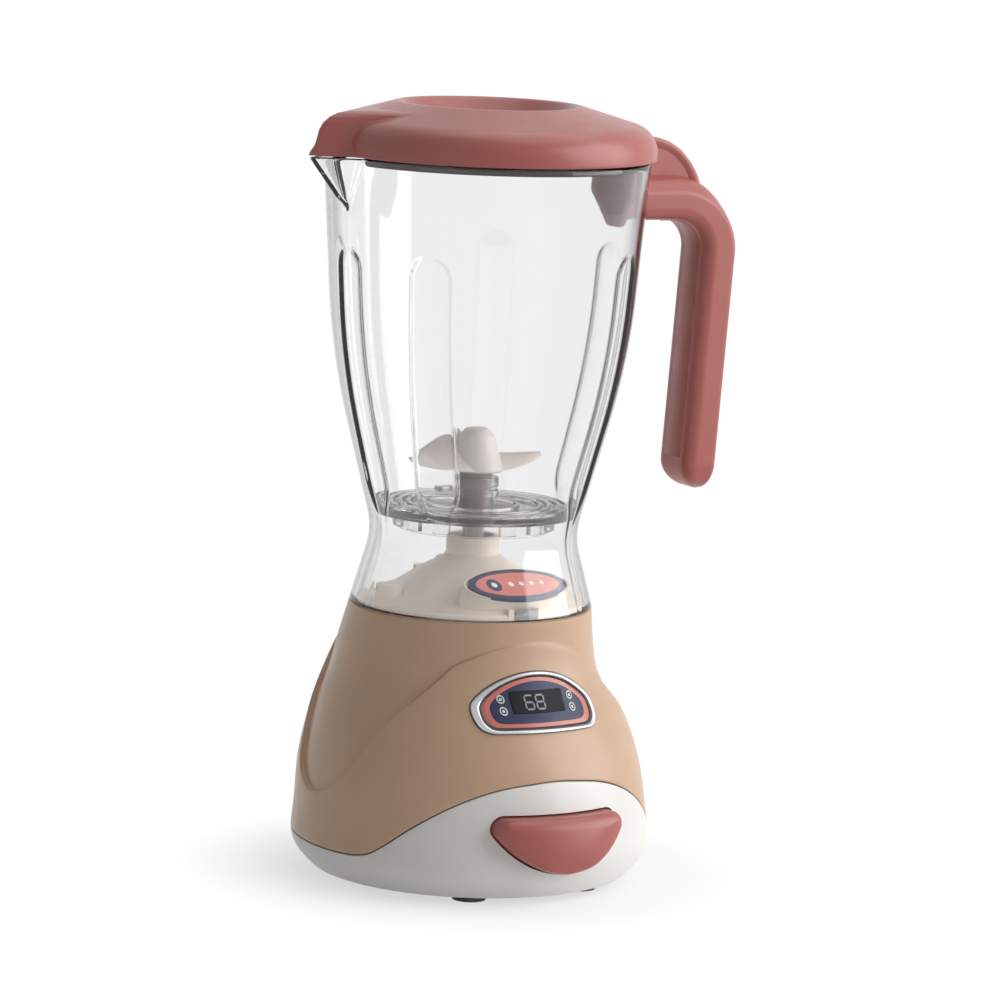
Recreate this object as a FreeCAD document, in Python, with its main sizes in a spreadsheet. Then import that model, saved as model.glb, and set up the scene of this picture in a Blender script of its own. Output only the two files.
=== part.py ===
import FreeCAD, Part
import math
import os
import re

import Sketcher
from FreeCAD import Placement, Rotation, Vector

# Toy blender. Millimetres, +Z up. The origin lies on the surface that the feet stand on, on the axis
# of the jug and the drive. The front, with the start button and the display, faces -Y; the handle
# points to +X and the spout to -X.

DOC = FreeCAD.newDocument("toy_blender")

# ---------------------------------------------------------------- driving dimensions

SIZES = [
    # fits
    ("run_fit", 0.05, "radial clearance of a shaft that turns in its bore"),
    ("slip_fit", 0.3, "gap round a piece that slides or lifts off"),
    ("seat_fit", 0.15, "gap between pieces fixed to each other"),
    ("seam", 0.3, "joint line between tub and housing"),
    # base
    ("foot_high", 2.5, "height of the rubber feet under the tub"),
    ("shell", 2.4, "wall of the base shells"),
    ("step_deep", 1.9, "how far the inner cone lies inside the skirt"),
    ("step_deep_top", 0.5, "the same where the skirt ends at the front and the back"),
    ("tub_side_high", 13.8, "top of the white tub at the sides and the back"),
    ("arch_high", 46.3, "top of the arch over the start button"),
    ("arch_shoulder_high", 41.0, "the arch where it leaves its flat top"),
    ("arch_shoulder_half", 34.5, "half width of the arch's flat top"),
    ("arch_foot_half", 63.0, "half width of the arch at its foot"),
    ("arch_top_bend", 115.0, "radius of the arch's flat top"),
    ("arch_side_bend", 62.0, "radius of the arch's sides"),
    ("rim_high", 98.5, "top of the housing's rim"),
    ("scoop_root_high", 20.4, "where the two sides of the skirt's scoop would meet"),
    ("scoop_root_bend", 16.7, "radius at the bottom of the scoop"),
    ("scoop_wing_half", 41.0, "half width of the scoop where it flares"),
    ("scoop_wing_high", 85.2, "height of the scoop where it flares"),
    ("scoop_wing_bend", 12.0, "radius of the flare"),
    ("scoop_tip_half", 52.0, "half width of the scoop at its tips"),
    ("scoop_tip_high", 94.5, "height of the scoop at its tips"),
    # drive deck
    ("deck_rad", 40.6, "outer radius of the deck"),
    ("deck_edge_high", 100.6, "deck at its edge"),
    ("deck_flat_rad", 30.0, "where the deck starts to rise"),
    ("deck_flat_high", 104.0, "deck where it starts to rise"),
    ("deck_cone_rad", 12.0, "foot of the tower"),
    ("deck_cone_high", 115.5, "deck at the foot of the tower"),
    ("deck_wall", 2.2, "wall of the deck"),
    ("tower_rad", 9.6, "outer radius of the tower"),
    ("tower_bore", 7.6, "bore of the tower"),
    ("tower_foot", 100.0, "lower end of the tower's tube"),
    ("tower_high", 124.0, "top of the tower"),
    ("boss_place", 33.8, "radius on which the locating bosses stand"),
    ("boss_rad", 4.6, "radius of a locating boss"),
    ("boss_high", 107.0, "top of a locating boss"),
    ("boss_slot", 1.0, "width of the slots in a boss"),
    ("latch_wide", 10.3, "width of the latch slot at the front"),
    ("latch_low", 99.0, "underside of the latch slot"),
    ("latch_tall", 3.2, "height of the latch slot"),
    ("plinth_long", 41.6, "length of the badge's plinth"),
    ("plinth_wide", 18.0, "width of the badge's plinth"),
    ("plinth_forward", 30.8, "centre of the plinth in front of the axis"),
    ("plinth_high", 110.0, "centre of the plinth's top"),
    ("plinth_tilt", 28.0, "slope of the plinth's top, degrees"),
    ("plinth_deep", 8.0, "depth of the plinth"),
    ("badge_long", 40.0, "length of the badge"),
    ("badge_wide", 15.6, "width of the badge"),
    ("badge_thick", 1.4, "thickness of the badge"),
    ("badge_sunk", 0.8, "how deep the badge lies in its plinth"),
    # display panel
    ("panel_half", 26.0, "half width of the panel"),
    ("panel_low", 63.2, "underside of the panel"),
    ("panel_side_high", 76.0, "panel where its arched top starts"),
    ("panel_bend", 52.0, "radius of the panel's arched top"),
    ("panel_corner", 4.0, "radius of the panel's lower corners"),
    ("bezel_wide", 1.8, "width of the bezel"),
    ("panel_sunk", 1.4, "depth of the panel's recess"),
    ("bezel_proud", 1.3, "how far the bezel stands out"),
    ("face_proud", 0.5, "how far the panel's face stands out"),
    ("window_proud", 0.9, "how far the window stands out"),
    ("window_half", 11.5, "half width of the window"),
    ("window_low", 66.5, "underside of the window"),
    ("window_tall", 11.4, "height of the window"),
    ("key_place", 17.5, "keys beside the centre"),
    ("key_low", 68.7, "centre of the lower keys"),
    ("key_step", 6.2, "from lower to upper keys"),
    ("key_rad", 2.2, "radius of a key"),
    # start button
    ("button_half", 27.5, "half width of the button"),
    ("button_top", 36.0, "upper edge of the button"),
    ("button_side_low", 27.0, "where the button's round lower edge starts"),
    ("button_low", 14.0, "lowest point of the button"),
    ("button_corner", 5.0, "radius of the button's upper corners"),
    ("button_proud", 8.5, "how far the button stands out of the tub"),
    ("button_gap", 0.5, "gap round the button"),
    ("button_wall", 2.4, "wall of the button"),
    ("button_edge", 2.2, "rounding of the button's face"),
    ("button_travel", 3.0, "how far the button is pressed"),
    ("flange_out", 1.6, "how far the button's rear flange overlaps the tub"),
    ("flange_back", 53.8, "front of the rear flange, in front of the axis"),
    ("flange_thick", 1.8, "thickness of the rear flange"),
    ("stem_rad", 4.0, "radius of the button's stem"),
    ("stem_end", 41.0, "rear end of the stem, in front of the axis"),
    ("guide_front", 44.5, "front of the button guide"),
    ("guide_thick", 2.4, "thickness of the button guide"),
    ("guide_half", 18.0, "half width of the button guide"),
    ("guide_high", 33.0, "height of the button guide"),
    ("button_axis_high", 25.0, "height of the stem's axis"),
    ("spring_rad", 6.4, "mean radius of the button's spring"),
    ("spring_wire", 0.9, "wire of the button's spring"),
    ("spring_turns", 3.0, "turns of the button's spring"),
    # gear train
    ("gear_module", 0.8, "module of the gears"),
    ("addendum", 0.9, "tooth height above the pitch circle, in modules"),
    ("dedendum", 1.2, "tooth depth below the pitch circle, in modules"),
    ("backlash", 0.12, "backlash of each mesh"),
    ("drive_teeth", 36, "teeth of the drive gear"),
    ("idler_small_teeth", 12, "teeth of the idler's upper gear"),
    ("idler_large_teeth", 36, "teeth of the idler's lower gear"),
    ("pinion_teeth", 10, "teeth of the motor's pinion"),
    ("gear_face", 4.5, "width of a gear"),
    ("gear_low", 61.5, "underside of the lower gears"),
    ("gear_storey", 6.5, "from the lower to the upper gears"),
    ("motor_turn", 200.0, "direction from the idler to the motor, degrees"),
    ("plate_thick", 2.2, "thickness of the gearbox plates"),
    ("box_low", 57.2, "underside of the gearbox plate"),
    ("box_high", 77.0, "underside of the gearbox cover"),
    ("box_rad", 36.0, "radius of the gearbox plates"),
    ("box_back", 3.0, "centre of the gearbox plates behind the axis"),
    ("pillar_rad", 3.2, "radius of the gearbox's pillars"),
    ("pillar_place", 31.0, "radius on which the pillars stand"),
    ("screw_rad", 1.45, "radius of a screw's shank"),
    ("screw_head_rad", 2.8, "radius of a screw's head"),
    ("screw_head_high", 1.8, "height of a screw's head"),
    ("shaft_rad", 2.5, "radius of the drive shaft"),
    ("pin_rad", 1.5, "radius of the idler's pin"),
    ("motor_shaft_rad", 1.0, "radius of the motor's shaft"),
    ("motor_rad", 10.1, "radius of the motor's can"),
    ("motor_flat_half", 7.7, "half width of the can across its flats"),
    ("motor_long", 25.0, "length of the motor's can"),
    ("motor_nose_rad", 3.0, "radius of the motor's nose"),
    ("motor_nose_long", 1.6, "length of the motor's nose"),
    ("coupler_rad", 7.2, "radius of the drive coupler"),
    ("coupler_low", 108.0, "underside of the drive coupler"),
    ("coupler_high", 122.5, "top of the drive coupler"),
    ("socket_deep", 9.5, "depth of the coupler's hexagon socket"),
    ("hex_flats", 7.8, "hexagon of the jug's shaft across its flats"),
    # batteries
    ("cell_rad", 7.1, "radius of an AA cell"),
    ("cell_long", 49.2, "length of an AA cell's can"),
    ("cell_nub_rad", 2.7, "radius of its positive end"),
    ("cell_nub_long", 1.2, "length of its positive end"),
    ("cell_pitch", 15.2, "from cell to cell"),
    ("cell_middle", 2.0, "centre of the middle cell behind the axis"),
    ("cell_high", 13.6, "height of the cells' axes"),
    ("holder_wall", 1.6, "wall of the battery holder"),
    ("contact_room", 3.0, "room for the contacts at each end"),
    ("door_thick", 2.0, "thickness of the battery door"),
    ("door_tab_wide", 8.0, "width of the door's tabs"),
    ("door_tab_long", 2.2, "length of the door's tabs"),
    ("door_tab_apart", 15.0, "tabs beside the centre"),
    # feet and base screws
    ("foot_rad", 6.0, "radius of a foot"),
    ("foot_place", 46.0, "radius on which the feet stand"),
    ("post_rad", 4.0, "radius of the screw posts"),
    ("post_place", 50.0, "radius on which the screw posts stand"),
    ("front_post_high", 38.5, "where the front posts of tub and housing meet"),
    ("post_hold", 11.0, "length of a base screw in the housing's post"),
    ("post_web", 2.0, "thickness of the web from a post to the wall"),
    # jug
    ("jug_wall", 2.4, "wall of the jug"),
    ("jug_top", 257.7, "lip of the jug"),
    ("jug_lip_rad", 58.7, "outer radius at the lip"),
    ("jug_knee_high", 188.2, "where the jug starts to draw in"),
    ("jug_knee_rad", 53.7, "outer radius there"),
    ("jug_knee_bend", 266.0, "radius of that bend"),
    ("jug_waist_high", 124.9, "height of the waist"),
    ("jug_waist_rad", 36.9, "outer radius where the waist's lines meet"),
    ("jug_waist_bend", 26.6, "radius of the waist"),
    ("jug_skirt_rad", 44.2, "outer radius of the skirt's edge"),
    ("flute_rad", 14.0, "radius of the flutes' tool"),
    ("flute_deep", 2.5, "depth of a flute"),
    ("flute_top", 221.0, "where a flute's round end is centred"),
    ("flute_end", 139.0, "lower end of a flute"),
    ("flute_side", 54.5, "flutes beside the handle, degrees"),
    ("flute_spout_side", 141.0, "flutes beside the spout, degrees"),
    ("beak_reach", 73.5, "spout's tip from the axis"),
    ("beak_half", 19.0, "half width of the spout at the wall"),
    ("beak_low", 244.0, "foot of the spout"),
    ("lug_half", 5.0, "half width of the handle's lug"),
    ("lug_reach", 71.0, "end of the lug from the axis"),
    ("lug_low", 239.5, "underside of the lug"),
    ("lug_high", 249.5, "top of the lug"),
    # jug floor, shaft and impeller
    ("floor_low", 132.0, "underside of the floor's flange"),
    ("floor_thick", 2.4, "thickness of the floor"),
    ("floor_rad", 36.0, "radius of the floor"),
    ("ledge_inner", 33.6, "inner radius of the ledge under the floor"),
    ("ledge_thick", 1.8, "thickness of that ledge"),
    ("crown_rad", 28.0, "outer radius of the castellated ring"),
    ("crown_low", 127.0, "underside of the castellated ring"),
    ("crown_wall", 2.2, "wall of the castellated ring"),
    ("crown_teeth", 12, "notches in the castellated ring"),
    ("hub_rad", 8.6, "radius of the hub"),
    ("hub_high", 146.6, "top of the hub"),
    ("bush_rad", 6.0, "outer radius of the hub's bush"),
    ("stem_high", 160.0, "top of the impeller's shaft"),
    ("stem_low", 115.0, "lower end of the impeller's shaft"),
    ("spin_rad", 3.9, "radius of the impeller's shaft"),
    ("dome_rad", 8.6, "foot radius of the impeller's dome"),
    ("dome_low", 147.2, "underside of the impeller"),
    ("dome_high", 163.0, "top of the impeller"),
    ("dome_top_rad", 5.2, "top radius of the impeller's dome"),
    ("blade_reach", 24.5, "blade tips from the axis"),
    ("blade_count", 2, "blades"),
    ("blade_thick", 1.6, "thickness of a blade"),
    # lid
    ("lid_rad", 60.9, "outer radius of the lid"),
    ("lid_low", 258.2, "rim of the lid"),
    ("lid_high", 280.0, "crest of the lid"),
    ("lid_shoulder", 18.0, "radius of the lid's shoulder"),
    ("lid_wall", 2.2, "wall of the lid"),
    ("dish_rad", 34.5, "radius of the lid's dish"),
    ("dish_floor", 272.5, "floor of the lid's dish"),
    ("dish_lip", 5.0, "radius of the dish's upper edge"),
    ("plug_low", 254.0, "underside of the plug ring"),
    ("plug_wall", 2.0, "wall of the plug ring"),
    ("cover_half", 21.0, "half width of the spout cover"),
    ("cover_tip_high", 261.5, "top of the spout cover at its tip"),
    ("cover_root_high", 272.0, "top of the spout cover at its root"),
    ("cover_root", 50.0, "root of the spout cover from the axis"),
    # handle
    ("arm_high", 245.5, "centre line of the handle's arm"),
    ("arm_root", 61.0, "start of the arm from the axis"),
    ("grip_top_out", 97.5, "grip's centre line at the arm, from the axis"),
    ("grip_end_out", 91.0, "grip's centre line at its lower end"),
    ("grip_low", 137.0, "lower end of the grip"),
    ("grip_bend", 18.0, "radius of the bend"),
    ("grip_thick", 15.5, "thickness of the grip"),
    ("grip_wide", 21.0, "width of the grip"),
    ("grip_round", 6.5, "rounding of the grip's edges"),
    ("grip_wall", 2.6, "wall of the handle's shell"),
    ("cover_strip", 12.0, "width of the handle's inner cover"),
    ("strip_thick", 2.0, "thickness of the handle's inner cover"),
    ("pad_half", 16.0, "half width of the root pad"),
    ("pad_low", 233.0, "lower end of the root pad"),
    ("pad_high", 255.0, "upper edge of the root pad"),
    ("pad_out", 63.0, "outer face of the root pad from the axis"),
    ("hump_high", 268.0, "top of the thumb rest"),
    ("hump_start", 66.0, "front of the thumb rest from the axis"),
    ("hump_end", 92.0, "rear of the thumb rest from the axis"),
    ("hump_thick", 15.0, "width of the thumb rest"),
]

# The base's outside, from the foot to the rim: height, radius, and how far the circle's centre lies
# behind the axis. The front leans forward at the foot and draws back in an S to the rim.
BASE_RINGS = [
    ("ring_a", 2.5, 57.0, -5.4),
    ("ring_b", 9.0, 63.2, -5.4),
    ("ring_c", 22.0, 64.6, -5.3),
    ("ring_d", 40.0, 62.65, -3.4),
    ("ring_e", 55.0, 58.9, -1.5),
    ("ring_f", 63.0, 55.9, 0.4),
    ("ring_g", 73.0, 51.2, 2.7),
    ("ring_h", 85.0, 47.45, 2.4),
    ("ring_i", 98.5, 44.4, 0.0),
]

sheet = DOC.addObject("Spreadsheet::Sheet", "sizes")
rows = [(name, value, note) for name, value, note in SIZES]
for name, high, rad, back in BASE_RINGS:
    rows.append((name + "_high", high, "height of a ring of the base's outside"))
    rows.append((name + "_rad", rad, "its radius"))
    rows.append((name + "_back", back, "its centre behind the axis"))
for row, (name, value, note) in enumerate(rows, start=1):
    sheet.set("A%d" % row, name)
    sheet.set("B%d" % row, str(value))
    sheet.set("C%d" % row, note)
    sheet.setAlias("B%d" % row, name)
DOC.recompute()

ALIASES = {name for name, _, _ in rows}
FULL_TURN = 360


def cells(text):
    """The expression with each size's name pointing at its cell."""
    return re.sub(r"[a-z][a-z0-9_]*", lambda m: "sizes." + m[0] if m[0] in ALIASES else m[0], str(text))


def mm(text):
    """The value of an expression of sizes."""
    return float(sheet.evalExpression(cells(text)))


def bind(target, prop, text):
    target.setExpression(prop, cells(text))


# ---------------------------------------------------------------- sketches

class Corner:
    """A corner of an outline: rounded by a radius, or reached by an arc of a signed radius."""

    def __init__(self, x, y, bend=None, arc=None):
        self.x = x
        self.y = y
        self.bend = bend
        self.arc = arc
        self.point = Vector(mm(x), mm(y), 0)


def sketch_on(body, role, offset="0"):
    sketch = body.newObject("Sketcher::SketchObject", body.Name + "_sketch")
    plane = [item for item in body.Origin.OriginFeatures if item.Role == role][0]
    sketch.AttachmentSupport = (plane, [""])
    sketch.MapMode = "FlatFace"
    bind(sketch, "AttachmentOffset.Base.z", offset)
    return sketch


def pin_point(sketch, geometry, end, x, y):
    """Holds a point of the sketch at two sizes from the origin."""
    for kind, text in (("DistanceX", x), ("DistanceY", y)):
        index = sketch.addConstraint(Sketcher.Constraint(kind, -1, 1, geometry, end, mm(text)))
        sketch.setExpression("Constraints[%d]" % index, cells(text))


def set_radius(sketch, geometry, text):
    index = sketch.addConstraint(Sketcher.Constraint("Radius", geometry, abs(mm(text))))
    sketch.setExpression("Constraints[%d]" % index, "abs(%s)" % cells(text))


def arc_between(start, end, radius):
    """The short arc from start to end; a positive radius has its centre on the left."""
    chord = end - start
    left = Vector(-chord.y, chord.x, 0).normalize()
    reach = math.sqrt(radius ** 2 - (chord.Length / 2) ** 2)
    centre = (start + end) * 0.5 + left * (reach if radius > 0 else -reach)
    first, last = (start, end) if radius > 0 else (end, start)
    angles = [math.atan2((p - centre).y, (p - centre).x) for p in (first, last)]
    if angles[1] < angles[0]:
        angles[1] += 2 * math.pi
    return Part.ArcOfCircle(Part.Circle(centre, Vector(0, 0, 1), abs(radius)), *angles)


def outline(sketch, corners, closed=True):
    """Draws a closed or an open profile through the corners, fully held by sizes."""
    count = len(corners)
    entry = []
    leave = []
    for i, corner in enumerate(corners):
        if corner.bend is None:
            entry.append(corner.point)
            leave.append(corner.point)
            continue
        before = (corners[i - 1].point - corner.point).normalize()
        after = (corners[(i + 1) % count].point - corner.point).normalize()
        half = before.getAngle(after) / 2
        cut = mm(corner.bend) / math.tan(half)
        entry.append(corner.point + before * cut)
        leave.append(corner.point + after * cut)

    edges = []
    for i in range(count if closed else count - 1):
        following = (i + 1) % count
        arc = corners[following].arc
        if arc is None:
            edges.append((sketch.addGeometry(Part.LineSegment(leave[i], entry[following])), 1, 2))
        else:
            geometry = sketch.addGeometry(arc_between(leave[i], entry[following], mm(arc)))
            edges.append((geometry, 1, 2) if mm(arc) > 0 else (geometry, 2, 1))
            set_radius(sketch, geometry, arc)

    for i, corner in enumerate(corners):
        ends = not closed and i in (0, count - 1)
        arriving = edges[i - 1]
        leaving = edges[i % len(edges)]
        if ends:
            edge, end = (leaving[0], leaving[1]) if i == 0 else (arriving[0], arriving[2])
            pin_point(sketch, edge, end, corner.x, corner.y)
        elif corner.bend is None:
            meet = Sketcher.Constraint("Coincident", arriving[0], arriving[2], leaving[0], leaving[1])
            sketch.addConstraint(meet)
            pin_point(sketch, leaving[0], leaving[1], corner.x, corner.y)
        else:
            turn = (entry[i] - corner.point).cross(leave[i] - corner.point).z
            radius = mm(corner.bend) * (-1 if turn > 0 else 1)
            geometry = sketch.addGeometry(arc_between(entry[i], leave[i], radius))
            first, last = (1, 2) if radius > 0 else (2, 1)
            point = sketch.addGeometry(Part.Point(corner.point), True)
            pin_point(sketch, point, 1, corner.x, corner.y)
            sketch.addConstraint(Sketcher.Constraint("PointOnObject", point, 1, arriving[0]))
            sketch.addConstraint(Sketcher.Constraint("PointOnObject", point, 1, leaving[0]))
            sketch.addConstraint(Sketcher.Constraint("Tangent", arriving[0], arriving[2], geometry, first))
            sketch.addConstraint(Sketcher.Constraint("Tangent", leaving[0], leaving[1], geometry, last))
            set_radius(sketch, geometry, corner.bend)


def rectangle(x_low, x_high, y_low, y_high, bend=None):
    spots = ((x_low, y_low), (x_high, y_low), (x_high, y_high), (x_low, y_high))
    return [Corner(x, y, bend=bend) for x, y in spots]


def circles(sketch, discs):
    """Circles, each a centre and a radius."""
    for x, y, rad in discs:
        circle = Part.Circle(Vector(mm(x), mm(y), 0), Vector(0, 0, 1), mm(rad))
        geometry = sketch.addGeometry(circle)
        pin_point(sketch, geometry, 3, x, y)
        set_radius(sketch, geometry, rad)


# ---------------------------------------------------------------- features

def new_body(name):
    return DOC.addObject("PartDesign::Body", name)


def turn(body, corners, groove=False):
    """Turns a profile of radius and height about the axis, or cuts it away."""
    sketch = sketch_on(body, "XZ_Plane")
    outline(sketch, corners)
    kind = "PartDesign::Groove" if groove else "PartDesign::Revolution"
    feature = body.newObject(kind, body.Name + ("_groove" if groove else "_turned"))
    feature.Profile = sketch
    feature.ReferenceAxis = (sketch, ["V_Axis"])
    feature.Angle = FULL_TURN
    sketch.Visibility = False
    DOC.recompute()
    return feature


def extrude(body, role, shape, low, high, cut=False):
    """Pads, or cuts, an outline or a list of circles from low to high along the plane's world axis."""
    sign = "-" if role == "XZ_Plane" else ""
    sketch = sketch_on(body, role, "%s((%s) + (%s)) / 2" % (sign, low, high))
    if isinstance(shape[0], Corner):
        outline(sketch, shape)
    else:
        circles(sketch, shape)
    kind = "PartDesign::Pocket" if cut else "PartDesign::Pad"
    feature = body.newObject(kind, body.Name + ("_cut" if cut else "_pad"))
    feature.Profile = sketch
    feature.SideType = "Symmetric"
    bind(feature, "Length", "(%s) - (%s)" % (high, low))
    sketch.Visibility = False
    DOC.recompute()
    return feature


def repeat_round(body, feature, count, angle="360"):
    """Repeats a feature about the axis."""
    pattern = body.newObject("PartDesign::PolarPattern", body.Name + "_round")
    pattern.Originals = [feature]
    axis = [item for item in body.Origin.OriginFeatures if item.Role == "Z_Axis"][0]
    pattern.Axis = (axis, [""])
    bind(pattern, "Angle", angle)
    bind(pattern, "Occurrences", count)
    body.Tip = pattern
    DOC.recompute()
    return pattern


def move(item, x="0", y="0", z="0"):
    for axis, text in (("x", x), ("y", y), ("z", z)):
        bind(item, "Placement.Base." + axis, text)


def cut(name, base, tool):
    item = DOC.addObject("Part::Cut", name)
    item.Base = base
    item.Tool = tool
    DOC.recompute()
    return item


def common(name, first, second):
    item = DOC.addObject("Part::Common", name)
    item.Base = first
    item.Tool = second
    DOC.recompute()
    return item


def fuse(name, pieces):
    item = DOC.addObject("Part::MultiFuse", name)
    item.Shapes = pieces
    DOC.recompute()
    return item


def group(name, pieces):
    item = DOC.addObject("Part::Compound", name)
    item.Links = pieces
    DOC.recompute()
    return item


def rod(name, rad, low, high, x="0", y="0", bore=None):
    """An upright round bar or, with a bore, a tube."""
    body = new_body(name)
    extrude(body, "XY_Plane", [("0", "0", rad)] + ([("0", "0", bore)] if bore else []), low, high)
    move(body, x, y)
    return body


def feature_shape(name, shape, place=Placement()):
    """A shape made directly, set at a place."""
    item = DOC.addObject("Part::Feature", name)
    item.Shape = shape
    item.Placement = place.multiply(shape.Placement)
    return item


NODES = []


def node(item, name):
    """Names a finished sub-part, which is written under that name."""
    item.Label = name
    NODES.append(item)
    return item


# ---------------------------------------------------------------- the base's outside

def base_form(name, inset, floor=None):
    """The solid inside the base's outside, inset ring by ring; a floor lifts its lowest ring."""
    discs = []
    for ring, _, _, _ in BASE_RINGS:
        disc = DOC.addObject("Part::Circle", "%s_%s" % (name, ring))
        bind(disc, "Radius", "%s_rad - (%s)" % (ring, inset(ring)))
        bind(disc, "Placement.Base.y", ring + "_back")
        bind(disc, "Placement.Base.z", floor if floor and ring == "ring_a" else ring + "_high")
        discs.append(disc)
    loft = DOC.addObject("Part::Loft", name)
    loft.Sections = discs
    loft.Solid = True
    DOC.recompute()
    return loft


def step_at(ring):
    """The step between skirt and inner cone dies away towards the rim."""
    fades = {"ring_i": "step_deep_top * 0.4", "ring_h": "step_deep_top + 0.4"}
    return fades.get(ring, "step_deep")


def inner_at(ring):
    return step_at(ring) + " + shell"


outside = base_form("outside", lambda ring: "0")
inner_cone = base_form("inner_cone", step_at)
cavity = base_form("cavity", inner_at, "foot_high + shell")

scoops = new_body("scoops")
extrude(scoops, "YZ_Plane", [
    Corner("0", "scoop_root_high", bend="scoop_root_bend"),
    Corner("scoop_wing_half", "scoop_wing_high", bend="scoop_wing_bend"),
    Corner("scoop_tip_half", "scoop_tip_high"),
    Corner("scoop_tip_half", "rim_high + shell"),
    Corner("-scoop_tip_half", "rim_high + shell"),
    Corner("-scoop_tip_half", "scoop_tip_high"),
    Corner("-scoop_wing_half", "scoop_wing_high", bend="scoop_wing_bend"),
], "-ring_c_rad - shell", "ring_c_rad + shell")
skirt = cut("skirt", outside, scoops)
sculpted = fuse("sculpted", [skirt, inner_cone])
base_shell = cut("base_shell", sculpted, cavity)


def tub_zone(name, gap):
    """The space of the lower tub: a flat disc, and the arch over the button at the front."""
    body = new_body(name)
    wide = "ring_c_rad + shell"
    extrude(body, "XY_Plane", rectangle("-(%s)" % wide, wide, "-(%s) * 2" % wide, wide),
            "0", "tub_side_high - (%s)" % gap)
    extrude(body, "XZ_Plane", [
        Corner("-arch_foot_half", "foot_high"),
        Corner("arch_foot_half", "foot_high"),
        Corner("arch_foot_half", "tub_side_high - (%s)" % gap),
        Corner("arch_shoulder_half", "arch_shoulder_high - (%s)" % gap, arc="arch_side_bend"),
        Corner("-arch_shoulder_half", "arch_shoulder_high - (%s)" % gap, arc="arch_top_bend"),
        Corner("-arch_foot_half", "tub_side_high - (%s)" % gap, arc="arch_side_bend"),
    ], "-(%s) * 2" % wide, "0")
    return body


# ---------------------------------------------------------------- display panel

def panel_outline(inset):
    """A D lying on its flat side: straight below, arched above."""
    half = "panel_half - (%s)" % inset
    low = "panel_low + (%s)" % inset
    return [
        Corner("-(%s)" % half, low, bend="panel_corner - (%s) * 0.6" % inset),
        Corner(half, low, bend="panel_corner - (%s) * 0.6" % inset),
        Corner(half, "panel_side_high - (%s) * 0.6" % inset),
        Corner("-(%s)" % half, "panel_side_high - (%s) * 0.6" % inset, arc="panel_bend"),
    ]


def front_prism(name, shape):
    """An outline seen from the front, run through the front wall."""
    body = new_body(name)
    extrude(body, "XZ_Plane", shape, "-ring_c_rad * 1.4", "-ring_i_rad / 2")
    return body


def wrapped(name, shape, top, bottom, hole=None):
    """A plate that follows the front wall between two of its offsets."""
    plate = common(name + "_block", front_prism(name + "_prism", shape), top)
    if hole:
        plate = cut(name + "_open", plate, front_prism(name + "_hole", hole))
    return cut(name, plate, bottom)


window_outline = rectangle("-window_half", "window_half", "window_low", "window_low + window_tall", bend="1.2")
recess = base_form("recess_floor", lambda ring: "panel_sunk")
seat = base_form("panel_seat", lambda ring: "panel_sunk - seat_fit")
bezel_top = base_form("bezel_top", lambda ring: "-bezel_proud")
face_top = base_form("face_top", lambda ring: "-face_proud")
window_top = base_form("window_top", lambda ring: "-window_proud")

bezel = wrapped("bezel", panel_outline("seat_fit"), bezel_top, seat, panel_outline("bezel_wide"))
node(bezel, "panel_bezel")

key_spots = [(side, level) for side in ("-key_place", "key_place") for level in ("key_low", "key_low + key_step")]
face_inset = "bezel_wide + seat_fit"
face_plate = wrapped("face_plate", panel_outline(face_inset), face_top, seat,
                     rectangle("-window_half - seat_fit", "window_half + seat_fit", "window_low - seat_fit",
                               "window_low + window_tall + seat_fit", bend="1.2"))
key_holes = front_prism("key_holes", [(x, z, "key_rad + seat_fit") for x, z in key_spots])
node(cut("face", face_plate, key_holes), "panel_face")
node(wrapped("window", window_outline, window_top, seat), "display_window")
node(wrapped("keys", [(x, z, "key_rad") for x, z in key_spots], bezel_top, seat,
             [(x, z, "key_rad * 0.5") for x, z in key_spots]), "panel_keys")

# ---------------------------------------------------------------- tub and housing

panel_recess = cut("panel_recess", front_prism("recess_prism", panel_outline("0")), recess)
housing_zone = cut("housing_zone", base_shell, tub_zone("zone_for_housing", "0"))
housing = cut("housing", housing_zone, panel_recess)


def round_spots(rad, angles):
    """Places on a circle about the axis, as expressions."""
    return [("%s * cos(%s)" % (rad, angle), "%s * sin(%s)" % (rad, angle)) for angle in angles]


# the direction of each screw post and the height where its two halves meet
POSTS = [(40, "tub_side_high"), (140, "tub_side_high"), (220, "front_post_high"), (320, "front_post_high")]


def housing_post(index, angle, meet):
    """The housing's half of a screw post, with a web to the wall."""
    body = new_body("housing_post_%d" % index)
    top = "%s + post_hold + 4" % meet
    extrude(body, "XY_Plane", [("post_place", "0", "post_rad")], meet, top)
    extrude(body, "XY_Plane", rectangle("post_place", "ring_c_rad + 2", "-post_web / 2", "post_web / 2"), meet, top)
    extrude(body, "XY_Plane", [("post_place", "0", "screw_rad")], "%s - 1" % meet, "%s + post_hold + 1" % meet,
            cut=True)
    body.Placement.Rotation = Rotation(Vector(0, 0, 1), angle)
    return body


housing_posts = fuse("housing_posts", [housing_post(index, *post) for index, post in enumerate(POSTS)])
inside_posts = common("inside_posts", housing_posts, base_form("post_limit", lambda ring: step_at(ring) + " + 1"))
clear_posts = cut("clear_posts", inside_posts, tub_zone("post_clearance", "-seat_fit"))
node(fuse("housing_done", [housing, clear_posts]), "upper_housing")


def button_outline(grow):
    """Straight above, half an ellipse below."""
    half = "button_half + (%s)" % grow
    return [
        Corner("-(%s)" % half, "button_side_low"),
        Corner("0", "button_low - (%s)" % grow, arc="34"),
        Corner(half, "button_side_low", arc="34"),
        Corner(half, "button_top + (%s)" % grow, bend="button_corner + (%s)" % grow),
        Corner("-(%s)" % half, "button_top + (%s)" % grow, bend="button_corner + (%s)" % grow),
    ]


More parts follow.
